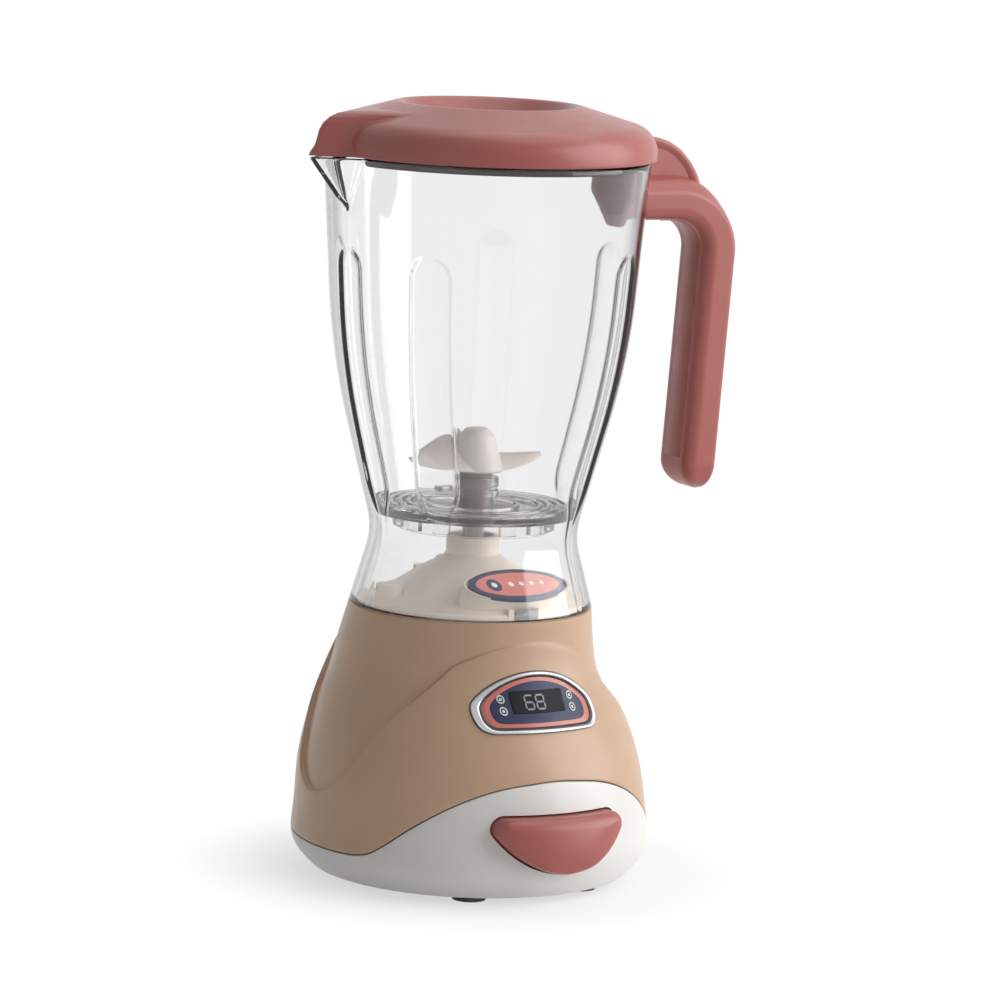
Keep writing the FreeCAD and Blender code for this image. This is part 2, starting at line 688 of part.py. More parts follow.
tub_blank = common("tub_blank", base_shell, tub_zone("zone_for_tub", "seam"))
lower_posts = new_body("lower_posts")
screw_ways = new_body("screw_ways")
post_spots = round_spots("post_place", [angle for angle, _ in POSTS])
for (x, y), (_, meet) in zip(post_spots, POSTS):
    extrude(lower_posts, "XY_Plane", [(x, y, "post_rad + 0.8")], "foot_high + 0.5", meet)
    extrude(screw_ways, "XY_Plane", [(x, y, "screw_rad + seat_fit")], "0", "%s + 1" % meet)
    extrude(screw_ways, "XY_Plane", [(x, y, "screw_head_rad + slip_fit")], "0", "%s - post_hold + 2" % meet)
post_block = common("post_block", lower_posts, tub_zone("post_zone", "seam"))
tub_with_posts = fuse("tub_with_posts", [tub_blank, post_block])

door_low_y = "cell_middle - cell_pitch * 1.5 - 9"
door_high_y = "cell_middle + cell_pitch * 1.5 + 1"
door_half = "cell_long / 2 + contact_room + 2"
tub_holes = new_body("tub_holes")
extrude(tub_holes, "XY_Plane", rectangle("-(%s)" % door_half, door_half, door_low_y, door_high_y),
        "0", "foot_high + shell + 1")
tub_open = cut("tub_open", cut("tub_bored", tub_with_posts, screw_ways), tub_holes)
node(cut("tub", tub_open, front_prism("button_opening", button_outline("button_gap"))), "base_tub")

# ---------------------------------------------------------------- start button

button_top_form = base_form("button_face_form", lambda ring: "-button_proud")
button_room = base_form("button_room_form", lambda ring: "button_wall - button_proud")
cap_prism = new_body("cap_prism")
extrude(cap_prism, "XZ_Plane", button_outline("0"), "-ring_c_rad * 1.4", "-flange_back")
cap_block = common("cap_block", cap_prism, button_top_form)
room_prism = new_body("room_prism")
extrude(room_prism, "XZ_Plane", button_outline("-button_wall"), "-ring_c_rad * 1.4", "-flange_back + shell")
cap_room = common("cap_room", room_prism, button_room)
stem = new_body("button_stem")
extrude(stem, "XZ_Plane", [("0", "button_axis_high", "stem_rad")], "-ring_c_rad - button_proud * 0.4", "-stem_end")
flange = new_body("button_flange")
extrude(flange, "XZ_Plane", button_outline("button_gap + flange_out"), "-flange_back", "-flange_back + flange_thick")
extrude(flange, "XZ_Plane", button_outline("-button_wall * 2"), "-flange_back - 1",
        "-flange_back + flange_thick + 1", cut=True)
spokes = new_body("button_spokes")
extrude(spokes, "XZ_Plane", rectangle("-button_half + 4", "button_half - 4", "button_axis_high - 1.5",
                                      "button_axis_high + 1.5"), "-flange_back - 6", "-flange_back + flange_thick")
cap_wall = cut("cap_wall", cap_block, cap_room)
node(fuse("button", [cap_wall, stem, flange, spokes]), "start_button")

guide = new_body("guide")
extrude(guide, "XZ_Plane", rectangle("-guide_half", "guide_half", "foot_high + shell", "guide_high", bend="1.5"),
        "-guide_front", "-guide_front + guide_thick")
extrude(guide, "XZ_Plane", [("0", "button_axis_high", "stem_rad + run_fit")], "-guide_front - 1",
        "-guide_front + guide_thick + 1", cut=True)
node(guide, "button_guide")


def coil(rad, wire, low, high, turns):
    """A compression spring standing on the plane z = low; its wire is drawn with six sides."""
    pitch = (mm(high) - mm(low) - mm(wire)) / mm(turns)
    spine = Part.makeHelix(pitch, pitch * mm(turns), mm(rad))
    ring = [Vector(mm(rad) + mm(wire) / 2 * math.cos(math.radians(angle)), 0,
                   mm(wire) / 2 * math.sin(math.radians(angle))) for angle in range(0, FULL_TURN + 1, 60)]
    shape = Part.Wire(spine).makePipeShell([Part.makePolygon(ring)], True, True)
    shape.translate(Vector(0, 0, mm(low) + mm(wire) / 2))
    return shape


spring_start = "flange_back - flange_thick - 0.1"
spring_end = "guide_front + 0.1"
spring = coil("spring_rad", "spring_wire", spring_end, spring_start, "spring_turns")
spring_place = Placement(Vector(0, 0, mm("button_axis_high")), Rotation(Vector(1, 0, 0), 90))
node(feature_shape("spring", spring, spring_place), "button_spring")

switch = new_body("switch")
switch_front = "stem_end - button_travel - seat_fit"
extrude(switch, "XZ_Plane", rectangle("-6.4", "6.4", "button_axis_high - 3.2", "button_axis_high + 3.2", bend="0.5"),
        "-(%s)" % switch_front, "-(%s) + 6" % switch_front)
extrude(switch, "XZ_Plane", rectangle("-9", "9", "button_axis_high - 4", "button_axis_high + 4", bend="0.5"),
        "-(%s) + 6" % switch_front, "-(%s) + 7.4" % switch_front)
extrude(switch, "YZ_Plane", rectangle("-guide_front + guide_thick", "-(%s) + 7.4" % switch_front,
                                      "button_axis_high - 5.4", "button_axis_high - 4"), "-9", "9")
node(switch, "start_switch")

# ---------------------------------------------------------------- drive deck

deck = new_body("deck")
turn(deck, [
    Corner("tower_bore", "tower_high"),
    Corner("tower_bore", "tower_foot"),
    Corner("tower_rad", "tower_foot"),
    Corner("tower_rad", "deck_cone_high - deck_wall"),
    Corner("deck_cone_rad", "deck_cone_high - deck_wall", bend="1.5"),
    Corner("deck_flat_rad", "deck_flat_high - deck_wall", bend="14"),
    Corner("deck_rad - deck_wall", "deck_edge_high - deck_wall"),
    Corner("deck_rad - deck_wall", "rim_high - deck_wall * 2"),
    Corner("deck_rad", "rim_high - deck_wall * 2"),
    Corner("deck_rad", "deck_edge_high", bend="1"),
    Corner("deck_flat_rad", "deck_flat_high", bend="14"),
    Corner("deck_cone_rad", "deck_cone_high", bend="3"),
    Corner("tower_rad", "deck_cone_high + 1.5"),
    Corner("tower_rad", "tower_high", bend="0.8"),
])
boss_spots = round_spots("boss_place", (0, 90, 180))
extrude(deck, "XY_Plane", [(x, y, "boss_rad") for x, y in boss_spots],
        "deck_edge_high - deck_wall * 0.5", "boss_high")
extrude(deck, "XY_Plane", rectangle("-boss_place - boss_rad - 1", "-boss_place + boss_rad + 1",
                                    "-boss_slot / 2", "boss_slot / 2"),
        "boss_high - 2", "boss_high + 1", cut=True)
extrude(deck, "XY_Plane", rectangle("boss_place - boss_rad - 1", "boss_place + boss_rad + 1",
                                    "-boss_slot / 2", "boss_slot / 2"),
        "boss_high - 2", "boss_high + 1", cut=True)
extrude(deck, "XZ_Plane", rectangle("-latch_wide / 2", "latch_wide / 2", "latch_low", "latch_low + latch_tall"),
        "-deck_rad - 1", "-deck_rad + deck_wall * 2", cut=True)


def oval_plate(name, long, wide, thick, lift):
    """An oval plate on the tilted plinth; lift is its top's height, square to the plinth's top."""
    ellipse = Part.Ellipse(Vector(0, 0, 0), mm(long) / 2, mm(wide) / 2)
    plate = Part.Face(Part.Wire(ellipse.toShape())).extrude(Vector(0, 0, -mm(thick)))
    tilt = Rotation(Vector(1, 0, 0), mm("plinth_tilt"))
    centre = Vector(0, -mm("plinth_forward"), mm("plinth_high"))
    return feature_shape(name, plate, Placement(centre + tilt.multVec(Vector(0, 0, mm(lift))), tilt))


plinth = oval_plate("plinth", "plinth_long", "plinth_wide", "plinth_deep", "0")
badge_seat = oval_plate("badge_seat", "badge_long + seat_fit * 2", "badge_wide + seat_fit * 2",
                        "badge_sunk * 2", "badge_sunk")
under_deck = new_body("under_deck")
turn(under_deck, [
    Corner("0", "rim_high - deck_wall * 2 - 9"),
    Corner("deck_rad - deck_wall", "rim_high - deck_wall * 2 - 9"),
    Corner("deck_rad - deck_wall", "deck_edge_high - deck_wall"),
    Corner("deck_flat_rad", "deck_flat_high - deck_wall", bend="14"),
    Corner("deck_cone_rad", "deck_cone_high - deck_wall", bend="2"),
    Corner("0", "deck_cone_high - deck_wall"),
])
plinth_cap = cut("plinth_cap", plinth, under_deck)
deck_posts = new_body("deck_posts")
PILLAR_ANGLES = (15, 165, 270)
pillar_spots = round_spots("pillar_place", PILLAR_ANGLES)
cover_top = "box_high + plate_thick"
extrude(deck_posts, "XY_Plane", [(x, y, "pillar_rad") for x, y in pillar_spots], cover_top, "deck_edge_high")
extrude(deck_posts, "XY_Plane", [(x, y, "screw_rad") for x, y in pillar_spots], "(%s) - 1" % cover_top,
        "(%s) + 12" % cover_top, cut=True)
deck_raised = fuse("deck_raised", [deck, plinth_cap, deck_posts])
node(cut("deck_seated", deck_raised, badge_seat), "drive_deck")
badge = oval_plate("badge", "badge_long", "badge_wide", "badge_thick", "badge_thick - badge_sunk + 0.02")
node(badge, "badge_plate")

# ---------------------------------------------------------------- gear train

PRESSURE_ANGLE = math.radians(20)


def involute(angle):
    return math.tan(angle) - angle


def gear_face(teeth):
    """The outline of a spur gear with a tooth on its +X axis; each flank is an arc on its involute."""
    module = mm("gear_module")
    pitch_rad = module * teeth / 2
    base_rad = pitch_rad * math.cos(PRESSURE_ANGLE)
    tip_rad = pitch_rad + mm("addendum") * module
    root_rad = pitch_rad - mm("dedendum") * module
    half_at_pitch = math.pi / (2 * teeth) - mm("backlash") / (4 * pitch_rad) + involute(PRESSURE_ANGLE)

    def spot(rad, side, tooth):
        pressure = math.acos(min(1.0, base_rad / rad))
        angle = tooth * 2 * math.pi / teeth + side * (half_at_pitch - involute(pressure))
        return Vector(rad * math.cos(angle), rad * math.sin(angle), 0)

    start_rad = max(base_rad, root_rad)
    middle_rad = (start_rad + tip_rad) / 2
    edges = []
    for tooth in range(teeth):
        flank_foot = spot(start_rad, -1, tooth)
        root_foot = flank_foot * (root_rad / start_rad)
        if start_rad > root_rad:
            edges.append(Part.LineSegment(root_foot, flank_foot).toShape())
        edges.append(Part.Arc(flank_foot, spot(middle_rad, -1, tooth), spot(tip_rad, -1, tooth)).toShape())
        tip = Vector(tip_rad * math.cos(tooth * 2 * math.pi / teeth),
                     tip_rad * math.sin(tooth * 2 * math.pi / teeth), 0)
        edges.append(Part.Arc(spot(tip_rad, -1, tooth), tip, spot(tip_rad, 1, tooth)).toShape())
        far_foot = spot(start_rad, 1, tooth)
        edges.append(Part.Arc(spot(tip_rad, 1, tooth), spot(middle_rad, 1, tooth), far_foot).toShape())
        far_root = far_foot * (root_rad / start_rad)
        if start_rad > root_rad:
            edges.append(Part.LineSegment(far_foot, far_root).toShape())
        next_root = spot(start_rad, -1, tooth + 1) * (root_rad / start_rad)
        gap_angle = (tooth + 0.5) * 2 * math.pi / teeth
        gap = Vector(root_rad * math.cos(gap_angle), root_rad * math.sin(gap_angle), 0)
        edges.append(Part.Arc(far_root, gap, next_root).toShape())
    return Part.Face(Part.Wire(edges))


def gear(teeth, low, face, bore, heading):
    """A spur gear from a height upwards, with a tooth towards the heading in degrees."""
    blank = gear_face(int(mm(teeth))).extrude(Vector(0, 0, mm(face)))
    blank = blank.cut(Part.makeCylinder(mm(bore), mm(face)))
    blank.rotate(Vector(0, 0, 0), Vector(0, 0, 1), heading)
    blank.translate(Vector(0, 0, mm(low)))
    return blank


IDLER_HEADING = 90
idler_away = "gear_module * (drive_teeth + idler_small_teeth) / 2"
motor_away = "gear_module * (idler_large_teeth + pinion_teeth) / 2"
idler_y = idler_away
motor_x = "(%s) * cos(motor_turn)" % motor_away
motor_y = "(%s) + (%s) * sin(motor_turn)" % (idler_away, motor_away)
upper_gear_low = "gear_low + gear_storey"
motor_heading = mm("motor_turn")

drive_gear = gear("drive_teeth", upper_gear_low, "gear_face", "shaft_rad", IDLER_HEADING)
drive_hub = Part.makeCylinder(mm("shaft_rad + 2.5"), mm("gear_face + 2.5"), Vector(0, 0, mm(upper_gear_low)))
drive_hub = drive_hub.cut(Part.makeCylinder(mm("shaft_rad"), mm("gear_face + 2.5"), Vector(0, 0, mm(upper_gear_low))))
node(feature_shape("drive_wheel", drive_gear.fuse(drive_hub)), "drive_gear")

small = gear("idler_small_teeth", "gear_low + gear_face", "gear_storey + 0.5", "pin_rad + run_fit",
             IDLER_HEADING + 180 + 180 / mm("idler_small_teeth"))
large = gear("idler_large_teeth", "gear_low", "gear_face", "pin_rad + run_fit", motor_heading)
idler_place = Placement(Vector(0, mm(idler_y), 0), Rotation())
node(feature_shape("idler", small.fuse(large), idler_place), "idler_gear")

pinion = gear("pinion_teeth", "gear_low - 0.5", "gear_face + 1", "motor_shaft_rad",
              motor_heading + 180 + 180 / mm("pinion_teeth"))
node(feature_shape("pinion", pinion, Placement(Vector(mm(motor_x), mm(motor_y), 0), Rotation())), "motor_pinion")

can_top = "box_low"
can_low = "box_low - motor_long"
nose_top = "(%s) + motor_nose_long" % can_top
motor = new_body("motor_can")
can_half_chord = "sqrt(motor_rad ^ 2 - motor_flat_half ^ 2)"
extrude(motor, "XY_Plane", [
    Corner("-(%s)" % can_half_chord, "-motor_flat_half", arc="motor_rad"),
    Corner(can_half_chord, "-motor_flat_half"),
    Corner(can_half_chord, "motor_flat_half", arc="motor_rad"),
    Corner("-(%s)" % can_half_chord, "motor_flat_half"),
], can_low, can_top)
extrude(motor, "XY_Plane", [("0", "0", "motor_nose_rad")], "(%s) - 1" % can_top, nose_top)
extrude(motor, "XY_Plane", [("0", "0", "motor_nose_rad + 1")], "(%s) - 1.5" % can_low, "(%s) + 1" % can_low)
extrude(motor, "XY_Plane", [("0", "0", "motor_shaft_rad + run_fit")], "(%s) + 2" % can_low,
        "(%s) + 1" % nose_top, cut=True)
move(motor, motor_x, motor_y)
node(motor, "motor")
node(rod("motor_axle", "motor_shaft_rad", "(%s) + 2.5" % can_low, "gear_low + gear_face + 0.5", motor_x, motor_y),
     "motor_shaft")


def gearbox_plate(name, low):
    """A round plate behind the axis with a bearing hole for the drive shaft and the idler's pin."""
    body = new_body(name)
    extrude(body, "XY_Plane", [("0", "box_back", "box_rad")], low, "(%s) + plate_thick" % low)
    holes = [("0", "0", "shaft_rad + run_fit"), ("0", idler_y, "pin_rad")]
    extrude(body, "XY_Plane", holes, "(%s) - 1" % low, "(%s) + plate_thick + 1" % low, cut=True)
    return body


gearbox = gearbox_plate("gearbox", "box_low")
extrude(gearbox, "XY_Plane", [(motor_x, motor_y, "motor_nose_rad + seat_fit")], "box_low - 1",
        "box_low + plate_thick + 1", cut=True)
extrude(gearbox, "XY_Plane", [(x, y, "pillar_rad") for x, y in pillar_spots], "box_low + plate_thick / 2",
        "box_high")
extrude(gearbox, "XY_Plane", [(x, y, "screw_rad + seat_fit") for x, y in pillar_spots],
        "box_low - 1", "box_high + 1", cut=True)
node(gearbox, "gearbox_plate")
gearbox_lid = gearbox_plate("gearbox_lid", "box_high")
extrude(gearbox_lid, "XY_Plane", [(x, y, "screw_rad + seat_fit") for x, y in pillar_spots],
        "box_high - 1", "box_high + plate_thick + 1", cut=True)
node(gearbox_lid, "gearbox_cover")
node(rod("idler_axle", "pin_rad", "box_low", cover_top, "0", idler_y), "idler_pin")


def screw(name, x, y, low, high):
    """A screw whose head is at its lower end."""
    body = new_body(name)
    extrude(body, "XY_Plane", [("0", "0", "screw_head_rad")], low, "(%s) + screw_head_high" % low)
    extrude(body, "XY_Plane", [("0", "0", "screw_rad")], "(%s) + screw_head_high / 2" % low, high)
    move(body, x, y)
    return body


gearbox_screws = [screw("gearbox_screw_%d" % i, x, y, "box_low - screw_head_high", "(%s) + 10" % cover_top)
                  for i, (x, y) in enumerate(pillar_spots)]
node(group("gearbox_screw_set", gearbox_screws), "gearbox_screws")

shaft = rod("shaft", "shaft_rad", "box_low", "coupler_high - socket_deep")
node(shaft, "drive_shaft")
collar = new_body("tower_collar")
extrude(collar, "XY_Plane", [("0", "0", "tower_bore - seat_fit"), ("0", "0", "shaft_rad + run_fit")],
        "tower_foot", "coupler_low - slip_fit")
node(collar, "tower_bush")


def hexagon(flats):
    """Corners of a hexagon with two of its sides across Y."""
    rad = "(%s) / sqrt(3)" % flats
    return [Corner("(%s) * cos(%d)" % (rad, turn_by), "(%s) * sin(%d)" % (rad, turn_by))
            for turn_by in range(0, FULL_TURN, 60)]


coupler = new_body("coupler")
extrude(coupler, "XY_Plane", [("0", "0", "coupler_rad")], "coupler_low", "coupler_high")
extrude(coupler, "XY_Plane", hexagon("hex_flats + slip_fit * 2"), "coupler_high - socket_deep",
        "coupler_high + 1", cut=True)
extrude(coupler, "XY_Plane", [("0", "0", "shaft_rad")], "coupler_low - 1", "coupler_high - socket_deep + 1", cut=True)
node(coupler, "drive_coupler")

# ---------------------------------------------------------------- batteries

holder_low = "cell_high - cell_rad - holder_wall + 1.2"
holder_high = "cell_high + cell_rad + holder_wall"
holder_half = "cell_long / 2 + cell_nub_long / 2 + contact_room"
holder_side = "cell_pitch * 1.5 + 0.5"
holder = new_body("holder")
extrude(holder, "XY_Plane", rectangle("-(%s)" % holder_half, holder_half, "cell_middle - (%s)" % holder_side,
                                      "cell_middle + (%s)" % holder_side), "foot_high + shell + 2.6", holder_high)
cell_rows = [("cell_middle + cell_pitch * (%d)" % row) for row in (-1, 0, 1)]
for row_y in cell_rows:
    extrude(holder, "YZ_Plane", [(row_y, "cell_high", "cell_rad + slip_fit")], "-(%s) + holder_wall" % holder_half,
            "(%s) - holder_wall" % holder_half, cut=True)
extrude(holder, "XY_Plane", rectangle("-(%s) + holder_wall" % holder_half, "(%s) - holder_wall" % holder_half,
                                      "cell_middle - cell_pitch - cell_rad - slip_fit",
                                      "cell_middle + cell_pitch + cell_rad + slip_fit"),
        "0", "cell_high", cut=True)
node(holder, "battery_holder")

cells_made = []
for index, row_y in enumerate(cell_rows):
    cell = new_body("cell_%d" % index)
    extrude(cell, "YZ_Plane", [("0", "0", "cell_rad")], "-cell_long / 2", "cell_long / 2")
    nub = ("cell_long / 2 - 1", "cell_long / 2 + cell_nub_long")
    if index == 1:
        nub = ("-cell_long / 2 - cell_nub_long", "-cell_long / 2 + 1")
    extrude(cell, "YZ_Plane", [("0", "0", "cell_nub_rad")], *nub)
    move(cell, "0", row_y, "cell_high")
    cells_made.append(cell)
node(group("cell_set", cells_made), "battery_cells")

contact_low = "cell_long / 2 + cell_nub_long + 0.1"
contact_high = "(%s) - holder_wall - 0.1" % holder_half
contacts = []
for index, row_y in enumerate(cell_rows):
    for side in (-1, 1):
        plate = new_body("contact_%d_%s" % (index, "left" if side < 0 else "right"))
        ends = (contact_low, contact_high) if side > 0 else ("-(%s)" % contact_high, "-(%s)" % contact_low)
        extrude(plate, "YZ_Plane", rectangle("-5", "5", "-4.5", "4.5", bend="1"), *ends)
        move(plate, "0", row_y, "cell_high")
        contacts.append(plate)
node(group("contact_set", contacts), "battery_contacts")

door = new_body("door")
door_low = "foot_high + 0.1"
gap = "slip_fit"
extrude(door, "XY_Plane", rectangle("-(%s) + %s" % (door_half, gap), "(%s) - %s" % (door_half, gap),
                                    "(%s) + %s" % (door_low_y, gap), "(%s) - %s" % (door_high_y, gap)),
        door_low, "(%s) + door_thick" % door_low)
for side in ("-door_tab_apart", "door_tab_apart"):
    extrude(door, "XY_Plane", rectangle("%s - door_tab_wide / 2" % side, "%s + door_tab_wide / 2" % side,
                                        "(%s) - 4" % door_high_y, "(%s) - %s" % (door_high_y, gap)),
            "(%s) + door_thick / 2" % door_low, "foot_high + shell + 1.7")
    extrude(door, "XY_Plane", rectangle("%s - door_tab_wide / 2" % side, "%s + door_tab_wide / 2" % side,
                                        "(%s) - 4" % door_high_y, "(%s) + door_tab_long" % door_high_y),
            "foot_high + shell + 0.3", "foot_high + shell + 1.7")
door_screw_y = "(%s) + 4.5" % door_low_y
extrude(door, "XY_Plane", [("0", door_screw_y, "screw_rad + run_fit")], "0", "(%s) + door_thick + 1" % door_low,
        cut=True)
extrude(door, "XY_Plane", [("0", door_screw_y, "screw_head_rad + 0.2")], "0", "(%s) + door_thick / 2" % door_low,
        cut=True)
node(door, "battery_door")
door_screw = new_body("door_screw")
extrude(door_screw, "XY_Plane", [("0", "0", "screw_head_rad")], door_low, "(%s) + door_thick / 2" % door_low)
extrude(door_screw, "XY_Plane", [("0", "0", "screw_rad")], "(%s) + door_thick / 4" % door_low,
        "(%s) + door_thick + 3.5" % door_low)
move(door_screw, "0", door_screw_y)
node(door_screw, "battery_door_screw")

# ---------------------------------------------------------------- base screws and feet

base_screws = [screw("base_screw_%d" % i, x, y, "%s - post_hold + 2 - screw_head_high" % meet,
                     "%s + post_hold - 1" % meet)
               for i, ((x, y), (_, meet)) in enumerate(zip(post_spots, POSTS))]
node(group("base_screw_set", base_screws), "base_screws")
FOOT_ANGLES = (60, 120, 240, 300)
feet = []
for index, (x, y) in enumerate(round_spots("foot_place", FOOT_ANGLES)):
    foot = new_body("foot_%d" % index)
    extrude(foot, "XY_Plane", [("0", "0", "foot_rad")], "0", "foot_high - 0.02")
    move(foot, x, "(%s) + ring_a_back" % y)
    feet.append(foot)
node(group("foot_set", feet), "rubber_feet")

# ---------------------------------------------------------------- jug

def jug_corners(inset, top):
    """The jug's side from its lip down to the skirt's edge, at a distance inside its outside."""
    return [
        Corner("jug_lip_rad - (%s)" % inset, top),
        Corner("jug_knee_rad - (%s)" % inset, "jug_knee_high", bend="jug_knee_bend"),
        Corner("jug_waist_rad - (%s)" % inset, "jug_waist_high", bend="jug_waist_bend"),
        Corner("jug_skirt_rad - (%s)" % inset, "rim_high + seat_fit"),
    ]


def jug_form(name, inset):
    body = new_body(name)
    turn(body, [Corner("0", "jug_top")] + jug_corners(inset, "jug_top") + [Corner("0", "rim_high + seat_fit")])
    return body


def wall_rad(high):
    """The jug's outer radius on the two straight runs of its side."""
    above = mm(high) > mm("jug_knee_high")
    top, foot = ("jug_lip", "jug_knee") if above else ("jug_knee", "jug_waist")
    top_high = mm("jug_top") if above else mm("jug_knee_high")
    foot_high = mm("jug_knee_high") if above else mm("jug_waist_high")
    share = (mm(high) - foot_high) / (top_high - foot_high)
    return mm(foot + "_rad") + share * (mm(top + "_rad") - mm(foot + "_rad"))


def flute_tool(grow):
    """A round bar that follows the jug's side, half sunk in it, with a ball at its upper end."""
    rad = mm("flute_rad") + grow
    out = mm("flute_rad - flute_deep")
    spots = [Vector(wall_rad(high) + out, 0, mm(high)) for high in ("flute_top", "jug_knee_high", "flute_end")]
    upper = (spots[0] - spots[1]).normalize()
    lower = (spots[2] - spots[1]).normalize()
    half = upper.getAngle(lower) / 2
    bend = mm("jug_knee_bend") * 0.75
    reach = bend / math.tan(half)
    first = spots[1] + upper * reach
    last = spots[1] + lower * reach
    inward = (upper + lower).normalize()
    centre = spots[1] + inward * (bend / math.sin(half))
    middle = centre + (spots[1] - centre).normalize() * bend
    path = Part.Wire([Part.LineSegment(spots[0], first).toShape(), Part.Arc(first, middle, last).toShape(),
                      Part.LineSegment(last, spots[2]).toShape()])
    section = Part.Wire(Part.makeCircle(rad, spots[0], upper))
    return path.makePipeShell([section], True, False).fuse(Part.makeSphere(rad, spots[0]))


def flutes(name, grow):
    """The flutes lie under the handle, under the spout and in two pairs beside them."""
    tool = flute_tool(grow)
    side = mm("flute_side")
    spout_side = mm("flute_spout_side")
    tools = []
    for angle in (0, side, spout_side, 180, -spout_side, -side):
        copy = tool.copy()
        copy.rotate(Vector(0, 0, 0), Vector(0, 0, 1), angle)
        tools.append(copy)
    return feature_shape(name, tools[0].fuse(tools[1:]))


def beak(name, inset):
    """The spout: a V that rises and opens towards the lip."""
    root = mm("jug_lip_rad - 3")
    rise = mm("jug_top") + (1 if inset else 0)
    half = mm("beak_half") - inset
    tip = mm("beak_reach") - inset * 1.4
    top = [Vector(-root, -half, rise), Vector(-tip, 0, rise), Vector(-root, half, rise)]
    if inset:
        top = [point + Vector(6, 0, 0) if index != 1 else point for index, point in enumerate(top)]
    foot = mm("beak_low") + inset * 1.5
    low_half = 1.5 if inset else 3.0
    low = [Vector(top[0].x, -low_half, foot), Vector(top[0].x - low_half, 0, foot), Vector(top[0].x, low_half, foot)]
    wires = [Part.makePolygon(ring + ring[:1]) for ring in (low, top)]
    return feature_shape(name, Part.makeLoft(wires, True, True))


jug_outer = cut("jug_outer", jug_form("jug_outer_form", "0"), flutes("flute_cuts", 0))
jug_body = fuse("jug_body", [jug_outer, beak("beak_outer", 0)])
jug_inner = cut("jug_inner", jug_form("jug_inner_form", "jug_wall"), flutes("flute_swells", mm("jug_wall")))
jug_room = fuse("jug_room", [jug_inner, beak("beak_inner", mm("jug_wall"))])
jug_hollow = cut("jug_hollow", jug_body, jug_room)
ledge = new_body("ledge")
turn(ledge, rectangle("ledge_inner", "floor_rad + 1.5", "floor_low - ledge_thick - seat_fit", "floor_low - seat_fit"))
lug = new_body("lug")
extrude(lug, "XY_Plane", rectangle("jug_lip_rad - 2.2", "lug_reach", "-lug_half", "lug_half"), "lug_low", "lug_high")
jug_parts = fuse("jug_parts", [jug_hollow, ledge, lug])
node(jug_parts, "jug_shell")

floor = new_body("jug_base")
floor_top = "floor_low + floor_thick"
turn(floor, [
    Corner("bush_rad + seat_fit", "floor_low"),
    Corner("crown_rad - crown_wall", "floor_low"),
    Corner("crown_rad - crown_wall", "crown_low"),
    Corner("crown_rad", "crown_low"),
    Corner("crown_rad", "floor_low"),
    Corner("floor_rad", "floor_low"),
    Corner("floor_rad", floor_top),
    Corner("crown_rad + 3", floor_top),
    Corner("crown_rad + 3", "(%s) + 1" % floor_top),
    Corner("crown_rad", "(%s) + 1" % floor_top),
    Corner("crown_rad", floor_top),
    Corner("hub_rad + 9", floor_top),
    Corner("hub_rad + 9", "(%s) - 0.8" % floor_top),
    Corner("hub_rad", "(%s) - 0.8" % floor_top),
    Corner("hub_rad", "hub_high"),
    Corner("bush_rad + seat_fit", "hub_high"),
])
notch = extrude(floor, "XY_Plane", rectangle("crown_rad - crown_wall - 1", "crown_rad + 1", "-3.2", "3.2"),
                "crown_low - 1", "floor_low - 1.6", cut=True)
repeat_round(floor, notch, "crown_teeth")
node(floor, "jug_floor")
node(rod("bush", "bush_rad", "floor_low", "hub_high", bore="spin_rad + run_fit"), "floor_bush")

spindle = new_body("spindle")
extrude(spindle, "XY_Plane", hexagon("hex_flats"), "stem_low", "tower_high - 0.5")
extrude(spindle, "XY_Plane", [("0", "0", "spin_rad")], "tower_high - 1", "stem_high")
node(spindle, "impeller_shaft")


def blade_section(rad, wide, pitch_angle, mid_high):
    """A thin blade's section at a radius, tilted by its pitch."""
    half = wide / 2
    thick = mm("blade_thick") / 2
    tilt = Rotation(Vector(1, 0, 0), pitch_angle)
    ring = [Vector(0, -half, 0), Vector(0, 0, -thick), Vector(0, half, 0), Vector(0, 0, thick)]
    points = [tilt.multVec(point) + Vector(rad, 0, mid_high) for point in ring]
    return Part.makePolygon(points + points[:1])


def blade():
    """A blade that turns flatter and narrower from the dome to its tip."""
    reach = mm("blade_reach")
    low = mm("dome_low")
    sections = [blade_section(4.5, 9.0, 55, low + 7.5), blade_section(reach * 0.5, 10.0, 38, low + 5.5),
                blade_section(reach, 5.5, 14, low + 3.2)]
    return Part.makeLoft(sections, True, False)


dome = new_body("dome")
turn(dome, [
    Corner("0", "stem_high + 0.05"),
    Corner("spin_rad", "stem_high + 0.05"),
    Corner("spin_rad", "dome_low"),
    Corner("dome_rad", "dome_low", bend="0.6"),
    Corner("dome_top_rad", "dome_high", bend="2.2"),
    Corner("0", "dome_high"),
])
blades = []
for index in range(int(mm("blade_count"))):
    vane = blade()
    vane.rotate(Vector(0, 0, 0), Vector(0, 0, 1), index * FULL_TURN / mm("blade_count"))
    blades.append(vane)
blade_set = feature_shape("blade_set", Part.makeCompound(blades))
shaft_room = rod("shaft_room", "spin_rad", "dome_low - 1", "stem_high + 0.05")
node(cut("whisk", fuse("whisk_blank", [dome, blade_set]), shaft_room), "impeller")

# ---------------------------------------------------------------- lid

lid_ring = new_body("lid_ring")
turn(lid_ring, [
    Corner("0", "dish_floor - lid_wall"),
    Corner("dish_rad + lid_wall", "dish_floor - lid_wall"),
    Corner("dish_rad + lid_wall", "lid_high - lid_wall", bend="2"),
    Corner("lid_rad - lid_wall", "lid_high - lid_wall", bend="lid_shoulder - lid_wall"),
    Corner("lid_rad - lid_wall", "lid_low"),
    Corner("lid_rad", "lid_low"),
    Corner("lid_rad", "lid_high", bend="lid_shoulder"),
    Corner("dish_rad", "lid_high", bend="dish_lip"),
    Corner("dish_rad", "dish_floor", bend="1.5"),
    Corner("0", "dish_floor"),
])


